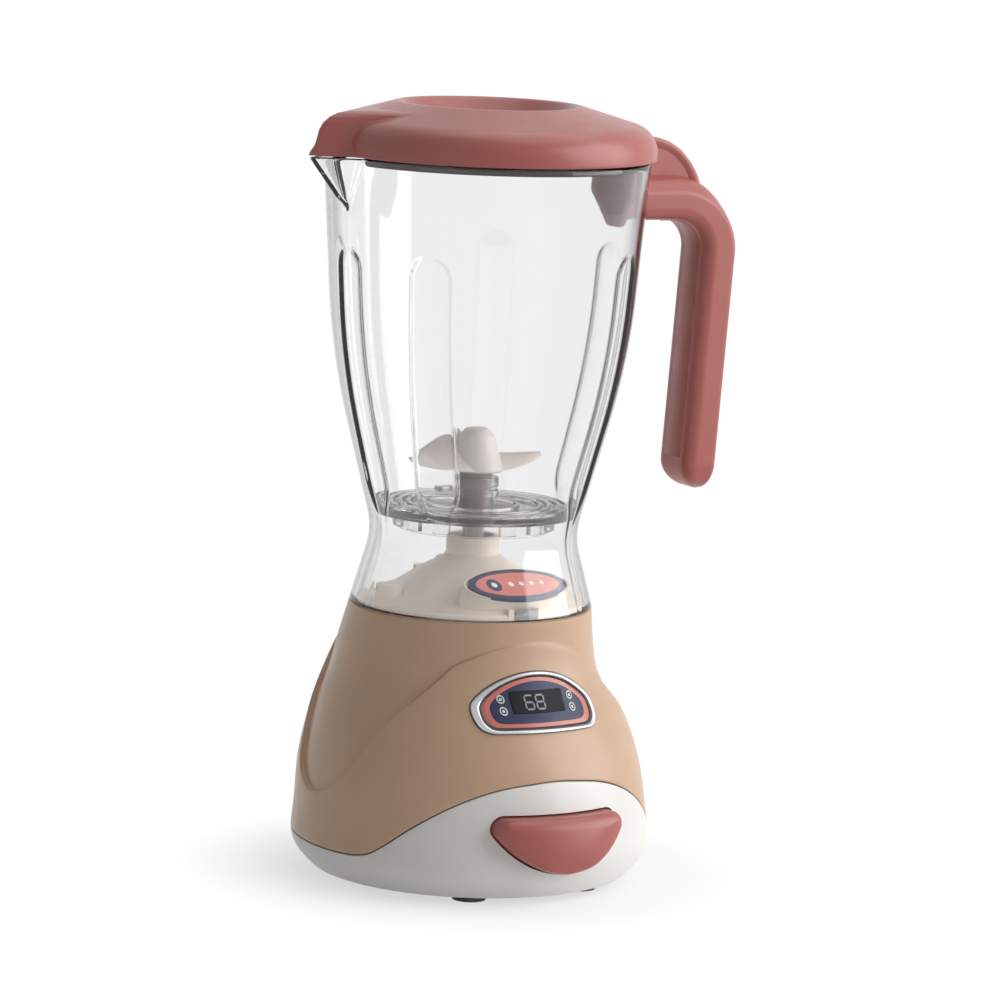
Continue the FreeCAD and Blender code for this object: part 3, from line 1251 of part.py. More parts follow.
def spout_cover(name, inset):
    """A pointed hood over the spout, falling towards its tip."""
    plan = new_body(name + "_plan")
    half = "cover_half - (%s)" % inset
    tip = "beak_reach + 1.2 - (%s) * 1.4" % inset
    low = "lid_low" if inset == "0" else "lid_low - 1"
    extrude(plan, "XY_Plane", [
        Corner("-cover_root", half),
        Corner("-(%s)" % tip, "0", bend="3"),
        Corner("-cover_root", "-(%s)" % half),
    ], low, "lid_high")
    side = new_body(name + "_side")
    extrude(side, "XZ_Plane", [
        Corner("-(%s)" % tip, low),
        Corner("-cover_root + 2", low),
        Corner("-cover_root + 2", "cover_root_high - (%s)" % inset),
        Corner("-(%s)" % tip, "cover_tip_high - (%s)" % inset),
    ], "-cover_half", "cover_half")
    return common(name, plan, side)


hood = cut("hood", spout_cover("hood_outer", "0"), spout_cover("hood_inner", "lid_wall * 0.8"))
ring_room = new_body("ring_room")
extrude(ring_room, "XY_Plane", [("0", "0", "lid_rad - lid_wall")], "lid_low - 1", "lid_high")
node(fuse("lid", [lid_ring, cut("hood_outside", hood, ring_room)]), "lid_shell")

plug = new_body("plug")
plug_rad = "jug_lip_rad - jug_wall - slip_fit - 0.4"
turn(plug, [
    Corner("(%s) - plug_wall" % plug_rad, "plug_low"),
    Corner(plug_rad, "plug_low"),
    Corner(plug_rad, "lid_low - slip_fit"),
    Corner("lid_rad - lid_wall - seat_fit", "lid_low - slip_fit"),
    Corner("lid_rad - lid_wall - seat_fit", "lid_low + 1.6"),
    Corner("(%s) - plug_wall" % plug_rad, "lid_low + 1.6"),
])
extrude(plug, "XY_Plane", rectangle("-lid_rad - 1", "-lid_rad + 14", "-beak_half + 5", "beak_half - 5"),
        "plug_low - 1", "lid_low - slip_fit", cut=True)
node(plug, "lid_plug")

# ---------------------------------------------------------------- handle

def handle_path(inward):
    """The handle's centre line, or a line at a distance on its inner side."""
    start = Vector(mm("arm_root") - 4, 0, mm("arm_high") - inward)
    corner = Vector(mm("grip_top_out") - inward, 0, mm("arm_high") - inward)
    end = Vector(mm("grip_end_out") - inward, 0, mm("grip_low"))
    arm = (start - corner).normalize()
    down = (end - corner).normalize()
    half = arm.getAngle(down) / 2
    bend = mm("grip_bend") - inward
    first = corner + arm * (bend / math.tan(half))
    last = corner + down * (bend / math.tan(half))
    centre = corner + (arm + down).normalize() * (bend / math.sin(half))
    middle = centre + (corner - centre).normalize() * bend
    return Part.Wire([Part.LineSegment(start, first).toShape(), Part.Arc(first, middle, last).toShape(),
                      Part.LineSegment(last, end).toShape()])


def handle_sweep(name, inward, thick, wide, bend):
    """A rounded bar along the handle's line."""
    path = handle_path(inward)
    start = path.OrderedVertexes[0].Point
    box = Part.makeBox(1, wide, thick, Vector(start.x, -wide / 2, start.z - thick / 2))
    ends = [edge for edge in box.Edges if abs(edge.tangentAt(0).x) > 0.9]
    section = box.makeFillet(bend, ends).Faces
    flat = [face for face in section if abs(face.CenterOfMass.x - start.x) < 0.001][0]
    return feature_shape(name, path.makePipeShell([flat.OuterWire], True, False))


bar = handle_sweep("bar", 0, mm("grip_thick"), mm("grip_wide"), mm("grip_round"))
strip_shift = mm("grip_thick - strip_thick") / 2
strip = handle_sweep("strip", strip_shift + 0.01, mm("strip_thick"), mm("cover_strip"), 0.6)
channel_thick = mm("grip_thick - grip_wall - strip_thick")
channel = handle_sweep("channel", mm("grip_wall - strip_thick") / 2 * -1 + 0, channel_thick,
                       mm("cover_strip - 2"), 1.5)
strip_room = handle_sweep("strip_room", strip_shift + 0.2, mm("strip_thick + seat_fit * 2 + 0.4"),
                          mm("cover_strip + seat_fit * 2"), 0.6)
pad = new_body("root_pad")
extrude(pad, "YZ_Plane", [
    Corner("-pad_half", "pad_high", bend="3"),
    Corner("-pad_half", "pad_low + 11", bend="5"),
    Corner("0", "pad_low - 3", bend="9"),
    Corner("pad_half", "pad_low + 11", bend="5"),
    Corner("pad_half", "pad_high", bend="3"),
], "pad_out - 10", "pad_out")
hump = new_body("hump")
extrude(hump, "XZ_Plane", [
    Corner("hump_start", "arm_high"),
    Corner("hump_end", "arm_high"),
    Corner("hump_end", "hump_high - 9", bend="8"),
    Corner("hump_start + 9", "hump_high", bend="8"),
    Corner("hump_start", "hump_high - 4", bend="4"),
], "-hump_thick / 2", "hump_thick / 2")
jug_clear = new_body("jug_clear")
turn(jug_clear, [Corner("0", "jug_top + 1")] + jug_corners("-slip_fit", "jug_top + 1")
     + [Corner("0", "rim_high + seat_fit")])
lug_room = new_body("lug_room")
extrude(lug_room, "XY_Plane", rectangle("jug_lip_rad - 5", "lug_reach + slip_fit", "-lug_half - slip_fit",
                                        "lug_half + slip_fit"), "lug_low - slip_fit", "lug_high + slip_fit")
handle_blank = fuse("handle_blank", [bar, pad, hump])
handle_parts = cut("handle_clear", handle_blank, jug_clear)
handle_parts = cut("handle_socket", handle_parts, lug_room)
handle_parts = cut("handle_channel", handle_parts, channel)
node(cut("handle", handle_parts, strip_room), "handle_shell")
strip_trim = cut("strip_trim", strip, jug_clear)
node(cut("strip_end", strip_trim, lug_room), "handle_cover")

# ---------------------------------------------------------------- check and write

DOC.recompute()
failed = [item.Name for item in DOC.Objects if {"Invalid", "Error"} & set(item.State)]
for item in NODES:
    if item.Shape.isNull() or not item.Shape.isValid():
        failed.append(item.Label)
if failed:
    raise RuntimeError("failed objects: " + ", ".join(failed))

os.makedirs("parts", exist_ok=True)
for item in NODES:
    item.Shape.exportStep(os.path.join("parts", item.Label + ".step"))
print("%d sub-parts" % len(NODES))
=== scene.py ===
"""Toy blender: the looks of every visible piece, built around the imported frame.

Lengths are millimetres in the frame's axes and become metres as a mesh is made. Front is -Y, the handle
points to +X and the spout to -X.
"""
import math

import bmesh
import bpy
import numpy as np
from mathutils import Matrix, Vector


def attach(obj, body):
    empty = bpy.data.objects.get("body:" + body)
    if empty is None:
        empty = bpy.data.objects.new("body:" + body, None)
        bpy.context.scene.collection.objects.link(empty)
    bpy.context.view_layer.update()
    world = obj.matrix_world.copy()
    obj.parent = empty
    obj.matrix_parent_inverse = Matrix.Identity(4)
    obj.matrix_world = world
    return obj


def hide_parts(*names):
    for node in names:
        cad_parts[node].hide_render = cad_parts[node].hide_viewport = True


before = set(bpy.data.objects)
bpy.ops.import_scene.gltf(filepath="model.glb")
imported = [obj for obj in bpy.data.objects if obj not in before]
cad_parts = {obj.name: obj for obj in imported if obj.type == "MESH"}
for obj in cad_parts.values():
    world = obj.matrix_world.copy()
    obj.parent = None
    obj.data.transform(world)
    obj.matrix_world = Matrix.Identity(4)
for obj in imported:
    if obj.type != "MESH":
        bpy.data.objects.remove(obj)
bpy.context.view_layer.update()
MM = 0.001
TURN = 2 * math.pi
# Edges that bend by fewer degrees than this are shaded smooth.
SHARP = 35

# ---------------------------------------------------------------- sizes

# The base's outside: height, radius, and how far the circle's centre lies behind the axis.
BASE_RINGS = np.array([
    (2.5, 57.0, -5.4), (9.0, 63.2, -5.4), (22.0, 64.6, -5.3), (40.0, 62.65, -3.4), (55.0, 58.9, -1.5),
    (63.0, 55.9, 0.4), (73.0, 51.2, 2.7), (85.0, 47.45, 2.4), (98.5, 44.4, 0.0)])
FOOT_HIGH, RIM_HIGH = 2.5, 98.5
WALL = 2.4
SEAM = 0.35
TUB_HIGH = 15.0

JUG_TOP, JUG_LOW, JUG_WALL = 261.3, 98.65, 2.4
JUG_LIP_RAD, SPOUT_REACH = 58.9, 73.3
LID_LOW, LID_RAD, DISH_RAD, DISH_HIGH, LID_WALL = 261.8, 60.89, 32.0, 272.9, 2.2


# ---------------------------------------------------------------- shape helpers

def spline(xs, ys):
    """A natural cubic spline through points, as a function."""
    xs, ys = np.asarray(xs, float), np.asarray(ys, float)
    gaps = np.diff(xs)
    slopes = np.diff(ys) / gaps
    count = len(xs)
    matrix, right = np.eye(count), np.zeros(count)
    for i in range(1, count - 1):
        matrix[i, i - 1:i + 2] = gaps[i - 1], 2 * (gaps[i - 1] + gaps[i]), gaps[i]
        right[i] = 6 * (slopes[i] - slopes[i - 1])
    bends = np.linalg.solve(matrix, right)

    def value(x):
        i = np.clip(np.searchsorted(xs, x) - 1, 0, count - 2)
        near, far, gap = xs[i + 1] - x, x - xs[i], gaps[i]
        bent = (bends[i] * near ** 3 + bends[i + 1] * far ** 3) / (6 * gap)
        lower_end = (ys[i] / gap - bends[i] * gap / 6) * near
        upper_end = (ys[i + 1] / gap - bends[i + 1] * gap / 6) * far
        return bent + lower_end + upper_end
    return value


def rounded(corners, closed=True, steps=6):
    """Points of an outline whose corners (x, y, radius) are rounded."""
    spots = [np.array(corner[:2], float) for corner in corners]
    points = []
    for i, (spot, corner) in enumerate(zip(spots, corners)):
        bend = corner[2] if len(corner) > 2 else 0
        if not bend or (not closed and i in (0, len(corners) - 1)):
            points.append(spot)
            continue
        before, after = spots[i - 1] - spot, spots[(i + 1) % len(spots)] - spot
        reach = min(np.linalg.norm(before), np.linalg.norm(after))
        before, after = before / np.linalg.norm(before), after / np.linalg.norm(after)
        half = math.acos(np.clip(before @ after, -1, 1)) / 2
        cut = min(bend / math.tan(half), reach * 0.98)
        middle = (before + after) / np.linalg.norm(before + after)
        centre = spot + middle * cut / math.cos(half)
        first, last = spot + before * cut - centre, spot + after * cut - centre
        sweep = math.pi - 2 * half
        for share in np.linspace(0, 1, steps + 1):
            points.append(centre + (first * math.sin((1 - share) * sweep) + last * math.sin(share * sweep))
                          / math.sin(sweep))
    return np.array(points)


def spread(points, count, closed=True):
    """The same line with points at equal steps along it."""
    ring = np.vstack([points, points[:1]]) if closed else np.asarray(points)
    along = np.concatenate([[0], np.cumsum(np.linalg.norm(np.diff(ring, axis=0), axis=1))])
    marks = np.linspace(0, along[-1], count + 1 if closed else count)
    found = np.stack([np.interp(marks, along, ring[:, axis]) for axis in range(ring.shape[1])], axis=1)
    return found[:-1] if closed else found


def softened(points, passes):
    """A closed outline with its corners worn round."""
    for _ in range(passes):
        points = points / 2 + (np.roll(points, 1, axis=0) + np.roll(points, -1, axis=0)) / 4
    return points


def inward(points, distance):
    """A closed outline moved inwards by a distance, or by one distance for each point."""
    ahead, behind = np.roll(points, -1, axis=0), np.roll(points, 1, axis=0)
    along = ahead - behind
    along /= np.linalg.norm(along, axis=1)[:, None] + 1e-9
    normal = np.stack([-along[:, 1], along[:, 0]], axis=1)
    area = np.sum(points[:, 0] * ahead[:, 1] - ahead[:, 0] * points[:, 1])
    return points + normal * np.sign(area) * np.asarray(distance).reshape(-1, 1)


def soft_min(a, b, blend):
    """The smaller of two values with a rounded change from one to the other."""
    mix = np.clip(0.5 + 0.5 * (b - a) / blend, 0, 1)
    return b * (1 - mix) + a * mix - blend * mix * (1 - mix)


def soft_max(a, b, blend):
    return -soft_min(-a, -b, blend)


def smooth(x):
    x = np.clip(x, 0, 1)
    return x * x * (3 - 2 * x)


# ---------------------------------------------------------------- mesh helpers

def directions(count):
    """Angles at equal steps all the way round."""
    return np.arange(count) * TURN / count


def polar_loop(angles, rad, high):
    """A loop of points from directions, radii and heights."""
    return np.stack([rad * np.cos(angles), rad * np.sin(angles), high * np.ones_like(angles)], axis=1)


def grid_faces(rows, columns, wrap_rows, wrap_columns):
    """The quads of a grid of points, closed in either direction or in both."""
    faces = []
    for row in range(rows if wrap_rows else rows - 1):
        following = (row + 1) % rows
        for column in range(columns if wrap_columns else columns - 1):
            beside = (column + 1) % columns
            faces.append((row * columns + column, row * columns + beside,
                          following * columns + beside, following * columns + column))
    return faces


def build(name, points, faces, sharp=SHARP):
    """An object from points in millimetres, welded, with outward normals and smooth shading."""
    mesh = bpy.data.meshes.new(name)
    mesh.from_pydata((np.asarray(points, float) * MM).tolist(), [], faces)
    form = bmesh.new()
    form.from_mesh(mesh)
    bmesh.ops.remove_doubles(form, verts=form.verts, dist=2e-6)
    bmesh.ops.dissolve_degenerate(form, edges=form.edges, dist=1e-6)
    bmesh.ops.recalc_face_normals(form, faces=form.faces)
    form.to_mesh(mesh)
    form.free()
    mesh.shade_smooth()
    mesh.set_sharp_from_angle(angle=math.radians(sharp))
    item = bpy.data.objects.new(name, mesh)
    bpy.context.scene.collection.objects.link(item)
    return item


def grid(name, points, wrap_rows=True, wrap_columns=True, sharp=SHARP):
    """A skin over a grid of points, left open in a direction that doesn't wrap."""
    points = np.asarray(points, float)
    return build(name, points.reshape(-1, 3), grid_faces(*points.shape[:2], wrap_rows, wrap_columns), sharp)


def revolve(name, profile, closed=True, segments=144):
    """Turns a profile of (radius, height) about the axis."""
    angles = directions(segments)[:, None]
    rad, high = profile[:, 0][None, :], profile[:, 1][None, :]
    points = np.stack([rad * np.cos(angles), rad * np.sin(angles), high * np.ones_like(angles)], axis=2)
    return grid(name, points, True, closed)


def rings(name, loops, sharp=SHARP):
    """A skin over loops of equally many points, closed at both ends by fans."""
    loops = np.asarray(loops, float)
    count, size = loops.shape[:2]
    points = loops.reshape(-1, 3).tolist()
    faces = grid_faces(count, size, False, True)
    for row in (0, count - 1):
        points.append(loops[row].mean(axis=0).tolist())
        hub = len(points) - 1
        faces += [(row * size + i, row * size + (i + 1) % size, hub) for i in range(size)]
    return build(name, points, faces, sharp)


def join(name, pieces):
    """Several objects as one."""
    bpy.ops.object.select_all(action="DESELECT")
    for piece in pieces:
        piece.select_set(True)
    bpy.context.view_layer.objects.active = pieces[0]
    bpy.ops.object.join()
    pieces[0].name = name
    return pieces[0]


def carve(piece, *cutters):
    """Cuts closed meshes out of a piece and removes them."""
    for cutter in cutters:
        modifier = piece.modifiers.new("cut", "BOOLEAN")
        modifier.object = cutter
        modifier.solver = "EXACT"
        bpy.context.view_layer.objects.active = piece
        bpy.ops.object.modifier_apply(modifier=modifier.name)
        bpy.data.objects.remove(cutter)
    piece.data.shade_smooth()
    piece.data.set_sharp_from_angle(angle=math.radians(SHARP))
    return piece


def finish_piece(piece, material, body, slot, *nodes):
    """Gives a piece its material and body, and hides the nodes that it stands for; the slot is not used."""
    piece.data.materials.clear()
    piece.data.materials.append(material)
    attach(piece, body)
    if nodes:
        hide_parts(*nodes)
    return piece


# ---------------------------------------------------------------- materials

# Noise scales of the mottle, the uneven gloss and the unevenness of clear plastic, and the grain's depth.
MOTTLE_SCALE, GLOSS_SCALE, CLEAR_SCALE, GRAIN_DEEP = 38.0, 120.0, 60.0, 0.0002
NOISE_LOW, NOISE_HIGH = 0.3, 0.7
COAT_ROUGH, CLEAR_IOR = 0.12, 1.47
# Where the painted shade at clear plastic's edges begins and ends as its face turns away, and what it lets through for
# the lamps.
EDGE_START, EDGE_FULL, LAMP_SHARE = 0.56, 0.84, 0.93


def tree(name):
    """A new material with its nodes and links."""
    material = bpy.data.materials.new(name)
    material.use_nodes = True
    return material, material.node_tree.nodes, material.node_tree.links


def noise(nodes, links, scale, detail=3.0):
    """A noise in the object's own coordinates."""
    place = nodes.new("ShaderNodeTexCoord")
    pattern = nodes.new("ShaderNodeTexNoise")
    pattern.inputs["Scale"].default_value = scale
    pattern.inputs["Detail"].default_value = detail
    links.new(place.outputs["Object"], pattern.inputs["Vector"])
    return pattern.outputs["Fac"]


def spread_value(nodes, links, source, low, high):
    """A noise stretched over a range of values."""
    ranged = nodes.new("ShaderNodeMapRange")
    ranged.inputs["From Min"].default_value = NOISE_LOW
    ranged.inputs["From Max"].default_value = NOISE_HIGH
    ranged.inputs["To Min"].default_value = low
    ranged.inputs["To Max"].default_value = high
    links.new(source, ranged.inputs["Value"])
    return ranged.outputs["Result"]


def plastic(name, colour, rough, coat, mottle=0.06, grain=0.03, metallic=0.0, scale=900.0, gloss=0.5):
    """Moulded plastic or metal: a slight mottle of colour, uneven gloss and a fine grain."""
    material, nodes, links = tree(name)
    shader = nodes["Principled BSDF"]
    shader.inputs["Metallic"].default_value = metallic
    shader.inputs["Coat Weight"].default_value = coat
    shader.inputs["Coat Roughness"].default_value = COAT_ROUGH
    shader.inputs["Specular IOR Level"].default_value = gloss
    tint = nodes.new("ShaderNodeMix")
    tint.data_type = "RGBA"
    tint.inputs["A"].default_value = [*(c * (1 - mottle) for c in colour), 1]
    tint.inputs["B"].default_value = [*(min(1, c * (1 + mottle)) for c in colour), 1]
    links.new(noise(nodes, links, MOTTLE_SCALE), tint.inputs["Factor"])
    links.new(tint.outputs["Result"], shader.inputs["Base Color"])
    links.new(spread_value(nodes, links, noise(nodes, links, GLOSS_SCALE), rough * 0.85, rough * 1.15),
              shader.inputs["Roughness"])
    bump = nodes.new("ShaderNodeBump")
    bump.inputs["Strength"].default_value = grain
    bump.inputs["Distance"].default_value = GRAIN_DEEP
    links.new(noise(nodes, links, scale, 2.0), bump.inputs["Height"])
    links.new(bump.outputs["Normal"], shader.inputs["Normal"])
    return material


def clear(name, tint, density, edge, rough=0.03):
    """Clear plastic with painted shade greying its edges, greying where light passes far through it, and letting the
    lamps through.
    """
    material, nodes, links = tree(name)
    shader = nodes["Principled BSDF"]
    weight = nodes.new("ShaderNodeLayerWeight")
    weight.inputs["Blend"].default_value = 0.5
    rim = nodes.new("ShaderNodeMapRange")
    rim.interpolation_type = "SMOOTHSTEP"
    rim.inputs["From Min"].default_value = EDGE_START
    rim.inputs["From Max"].default_value = EDGE_FULL
    links.new(weight.outputs["Facing"], rim.inputs["Value"])
    # The base colour turns to the edge colour on faces seen edge-on: painted shade at the edges.
    shade = nodes.new("ShaderNodeMix")
    shade.data_type = "RGBA"
    shade.inputs["A"].default_value = (1, 1, 1, 1)
    shade.inputs["B"].default_value = (*edge, 1)
    links.new(rim.outputs["Result"], shade.inputs["Factor"])
    links.new(shade.outputs["Result"], shader.inputs["Base Color"])
    shader.inputs["Transmission Weight"].default_value = 1.0
    shader.inputs["IOR"].default_value = CLEAR_IOR
    links.new(spread_value(nodes, links, noise(nodes, links, CLEAR_SCALE), rough * 0.6, rough * 1.4),
              shader.inputs["Roughness"])
    absorb = nodes.new("ShaderNodeVolumeAbsorption")
    absorb.inputs["Color"].default_value = (*tint, 1)
    absorb.inputs["Density"].default_value = density
    output = nodes["Material Output"]
    links.new(absorb.outputs["Volume"], output.inputs["Volume"])
    path = nodes.new("ShaderNodeLightPath")
    through = nodes.new("ShaderNodeBsdfTransparent")
    through.inputs["Color"].default_value = (LAMP_SHARE, LAMP_SHARE, LAMP_SHARE, 1)
    mix = nodes.new("ShaderNodeMixShader")
    links.new(path.outputs["Is Shadow Ray"], mix.inputs["Fac"])
    links.new(shader.outputs["BSDF"], mix.inputs[1])
    links.new(through.outputs["BSDF"], mix.inputs[2])
    links.new(mix.outputs["Shader"], output.inputs["Surface"])
    return material


TERRACOTTA = plastic("terracotta plastic", (0.402, 0.100, 0.084), 0.36, 0.12)
BEIGE = plastic("beige plastic", (0.578, 0.376, 0.242), 0.4, 0.12)
WHITE = plastic("white plastic", (0.80, 0.79, 0.76), 0.38, 0.12, 0.02)
CREAM = plastic("cream plastic", (0.72, 0.63, 0.55), 0.4, 0.12, 0.04)
BLADE = plastic("blade plastic", (0.56, 0.51, 0.48), 0.45, 0.1, 0.03)
HUB = plastic("hub plastic", (0.26, 0.21, 0.19), 0.45, 0.1, 0.05)
SILVER = plastic("metallised plastic", (0.44, 0.45, 0.47), 0.26, 0.2, 0.03, 0.02, 1.0)
NAVY = plastic("navy print", (0.020, 0.028, 0.085), 0.4, 0.1, 0.05, gloss=0.3)
CORAL = plastic("coral print", (0.62, 0.17, 0.13), 0.32, 0.35, 0.04)
BLACK = plastic("window", (0.010, 0.010, 0.012), 0.5, 0.0, 0.05, 0.01, gloss=0.15)
INK = plastic("display digits", (0.26, 0.27, 0.28), 0.35, 0.2, 0.03)
PALE = plastic("pale print", (0.82, 0.80, 0.76), 0.35, 0.2, 0.02)
GREY = plastic("grey plastic", (0.22, 0.22, 0.22), 0.5, 0.05)
DARK = plastic("dark plastic", (0.02, 0.02, 0.022), 0.5, 0.05)
# Terracotta darkened almost to black: painted shade of the plug inside the jug's mouth.
PLUG_IN_SHADE = plastic("plug plastic in painted shade", (0.022, 0.006, 0.005), 0.6, 0.0, gloss=0.2)
GEAR = plastic("gear plastic", (0.74, 0.72, 0.66), 0.45, 0.05, 0.03)
STEEL = plastic("steel", (0.50, 0.50, 0.51), 0.28, 0.0, 0.05, 0.05, 1.0, 300.0)
CELL = plastic("cell sleeve", (0.03, 0.035, 0.045), 0.3, 0.3)
RUBBER = plastic("foot rubber", (0.10, 0.10, 0.10), 0.75, 0.0, 0.1, 0.15)
# The last colour of each clear plastic is its painted edge shade.
CLEAR = clear("clear plastic", (0.66, 0.66, 0.67), 90.0, (0.26, 0.26, 0.26))
SMOKE = clear("translucent plastic", (0.52, 0.50, 0.48), 80.0, (0.16, 0.15, 0.15), rough=0.12)

NODE_FINISH = {
    "drive_deck": CREAM, "button_guide": GREY, "button_spring": STEEL,
    "start_switch": DARK, "motor": STEEL, "motor_shaft": STEEL, "motor_pinion": GEAR, "gearbox_plate": GREY,
    "gearbox_cover": GREY, "gearbox_screws": STEEL, "idler_pin": STEEL, "idler_gear": GEAR, "drive_gear": GEAR,
    "drive_shaft": STEEL, "tower_bush": GEAR, "drive_coupler": DARK, "battery_holder": DARK,
    "battery_cells": CELL, "battery_contacts": STEEL, "battery_door": WHITE, "battery_door_screw": STEEL,
    "base_screws": STEEL, "rubber_feet": RUBBER, "floor_bush": HUB, "impeller_shaft": HUB,
}
for node_name, node_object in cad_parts.items():
    if node_name in NODE_FINISH:
        node_object.data.materials.clear()
        node_object.data.materials.append(NODE_FINISH[node_name])


# ---------------------------------------------------------------- base

ring_rad = spline(BASE_RINGS[:, 0], BASE_RINGS[:, 1])
ring_back = spline(BASE_RINGS[:, 0], BASE_RINGS[:, 2])
BASE_ANGLES = directions(540)
# The tub's arch over the button, seen from the front.
ARCH_LINE = rounded([(-80.0, TUB_HIGH), (-60.3, TUB_HIGH, 8.0), (-37.0, 41.6, 60.0), (0.0, 45.2, 70.0),
                     (37.0, 41.6, 60.0), (60.3, TUB_HIGH, 8.0), (80.0, TUB_HIGH)], closed=False, steps=16)
# The skirt's edge by its distance before or behind the axis: a round bowl, a steep flank, a gentler shoulder.
BOWL_HIGH, BOWL_RAD, BOWL_HALF = 56.0, 22.8, 20.97
FLANK_LOW, FLANK_SLOPE = -2.0, 2.34
SHOULDER_HIGH, SHOULDER_SIDE, SHOULDER_SLOPE = 82.7, 36.2, 0.994
SCOOP_BLEND = 1.6
# How far the cone lies inside the skirt: heights and depths.
STEP_HIGHS, STEP_DEEPS = [73.0, 85.0, 98.5], [1.9, 0.9, 0.25]


def crossing(low, high, still_below):
    """The height between two heights at which a test turns false."""
    for _ in range(30):
        middle = (low + high) / 2
        if still_below(middle):
            low = middle
        else:
            high = middle
    return low


def arch(x):
    """The height of the tub's arch over the button at a distance beside the axis."""
    return float(np.interp(x, ARCH_LINE[:, 0], ARCH_LINE[:, 1]))


def seam_high(angle):
    """The height of the joint between tub and housing in a direction."""
    if ring_back(TUB_HIGH) + ring_rad(TUB_HIGH) * math.sin(angle) >= 0:
        return TUB_HIGH
    return crossing(TUB_HIGH, 50.0, lambda high: high < arch(ring_rad(high) * math.cos(angle)))


def scoop(y):
    """The height of the skirt's scooped edge at a distance before or behind the axis."""
    side = abs(y)
    if side < BOWL_HALF:
        bowl = BOWL_HIGH - math.sqrt(max(0.0, BOWL_RAD ** 2 - side ** 2))
    else:
        bowl = FLANK_LOW + FLANK_SLOPE * side
    shoulder = SHOULDER_HIGH + SHOULDER_SLOPE * (side - SHOULDER_SIDE)
    return float(soft_min(bowl, shoulder, SCOOP_BLEND))


def step_high(angle):
    """The height where the skirt ends in a direction."""
    return crossing(30.0, RIM_HIGH - 3,
                    lambda high: high < scoop(ring_back(high) + ring_rad(high) * math.sin(angle)))


def step_deep(high):
    """How far the cone above the skirt lies inside it at a height."""
    return np.interp(high, STEP_HIGHS, STEP_DEEPS)


def base_points(angle, highs, insets):
    """Points of the base's side in a direction, at heights and distances inside the outside."""
    highs, insets = np.asarray(highs, float), np.asarray(insets, float)
    rad = ring_rad(highs) - insets
    return np.stack([rad * math.cos(angle), ring_back(highs) + rad * math.sin(angle), highs], axis=1)


def housing_column(angle):
    """The housing's closed profile in a direction: seam, skirt, step, cone, rim and inside."""
    seam, step = seam_high(angle), step_high(angle)
    deep, rim_deep = float(step_deep(step)), float(step_deep(RIM_HIGH))
    skirt = np.linspace(seam + 0.8, step - 0.8, 22)
    cone = np.linspace(step + 0.7, RIM_HIGH - 1.0, 16)
    inside = np.linspace(RIM_HIGH - 1.2, seam + 0.3, 10)
    profile = [(seam + 0.15, 1.0), (seam, 0.6), (seam + 0.12, 0.22), (seam + 0.4, 0.05)]
    profile += [(high, 0.0) for high in skirt]
    profile += [(step - 0.42, 0.06), (step - 0.14, 0.24), (step, min(0.55, deep * 0.6)),
                (step + 0.05, deep * 0.82), (step + 0.25, deep * 0.97)]
    profile += [(high, float(step_deep(high))) for high in cone]
    rim_edge = ((0.4, 0.1), (0.08, 0.5), (0.0, 1.0), (0.1, 1.8), (0.5, 2.2))
    profile += [(RIM_HIGH - down, rim_deep + inset) for down, inset in rim_edge]
    profile += [(high, float(step_deep(high)) + WALL) for high in inside]
    return base_points(angle, *zip(*profile))


def tub_column(angle):
    """The tub's profile in a direction: from the middle of its underside, up its side and back inside."""
    top = seam_high(angle) - SEAM
    side = np.linspace(FOOT_HIGH + 1.6, top - 0.7, 14)
    low_rad, top_rad, inside_low = ring_rad(FOOT_HIGH), ring_rad(top), FOOT_HIGH + WALL
    rows = [(0.0, FOOT_HIGH), (low_rad * 0.5, FOOT_HIGH), (low_rad - 1.6, FOOT_HIGH)]
    rows += [(low_rad - 0.6, FOOT_HIGH + 0.15), (ring_rad(FOOT_HIGH + 0.6) - 0.1, FOOT_HIGH + 0.6)]
    rows += [(ring_rad(high), high) for high in side]
    rows += [(top_rad - inset, top - down) for inset, down in ((0.05, 0.35), (0.25, 0.08), (0.7, 0.0), (WALL, 0.0))]
    rows += [(ring_rad(high) - WALL, high) for high in np.linspace(top - 1, inside_low + 1, 8)]
    rows += [(low_rad - WALL, inside_low), (low_rad * 0.5, inside_low), (0.0, inside_low)]
    rad, high = np.array(rows).T
    return np.stack([rad * math.cos(angle), ring_back(high) + rad * math.sin(angle), high], axis=1)


def front_y(x, z, proud):
    """The front of the base, or a skin proud of it, at a place seen from the front."""
    return ring_back(z) - np.sqrt((ring_rad(z) + proud) ** 2 - x ** 2)


def front_loop(outline, proud):
    """An outline seen from the front, laid on that skin."""
    x, z = outline[:, 0], outline[:, 1]
    return np.stack([x, front_y(x, z, proud), z], axis=1)


def flat_loop(outline, y):
    """An outline seen from the front, laid on an upright plane."""
    return np.stack([outline[:, 0], np.full(len(outline), y), outline[:, 1]], axis=1)


def button_outline(grow=0.0):
    """Straight above, with a round lower edge, as a loop of points seen from the front."""
    half, low, top, side_low, bend = 25.5 + grow, 12.9 - grow, 33.2 + grow, 27.6, 33.0
    chord = math.hypot(half, side_low - low)
    reach = math.sqrt(bend ** 2 - chord ** 2 / 4)
    middle = np.array([half / 2, (side_low + low) / 2])
    centre = middle + np.array([-(side_low - low), half]) / chord * reach
    first = math.atan2(low - centre[1], -centre[0])
    last = math.atan2(side_low - centre[1], half - centre[0])
    arc = [centre + bend * np.array([math.cos(a), math.sin(a)]) for a in np.linspace(first, last, 30)]
    top_right = rounded([(half, side_low), (half, top, 4.6 + grow), (0.0, top)], closed=False, steps=10)
    right = np.vstack([arc, top_right[1:]])
    left = right[::-1] * (-1, 1)
    return spread(np.vstack([right, left[1:-1]]), 200)


def disc_cutter(x, y, rad, low, high):
    """An upright round cutter."""
    loops = [polar_loop(directions(40), rad, z) + (x, y, 0.0) for z in (low, high)]
    return rings("cutter", loops)


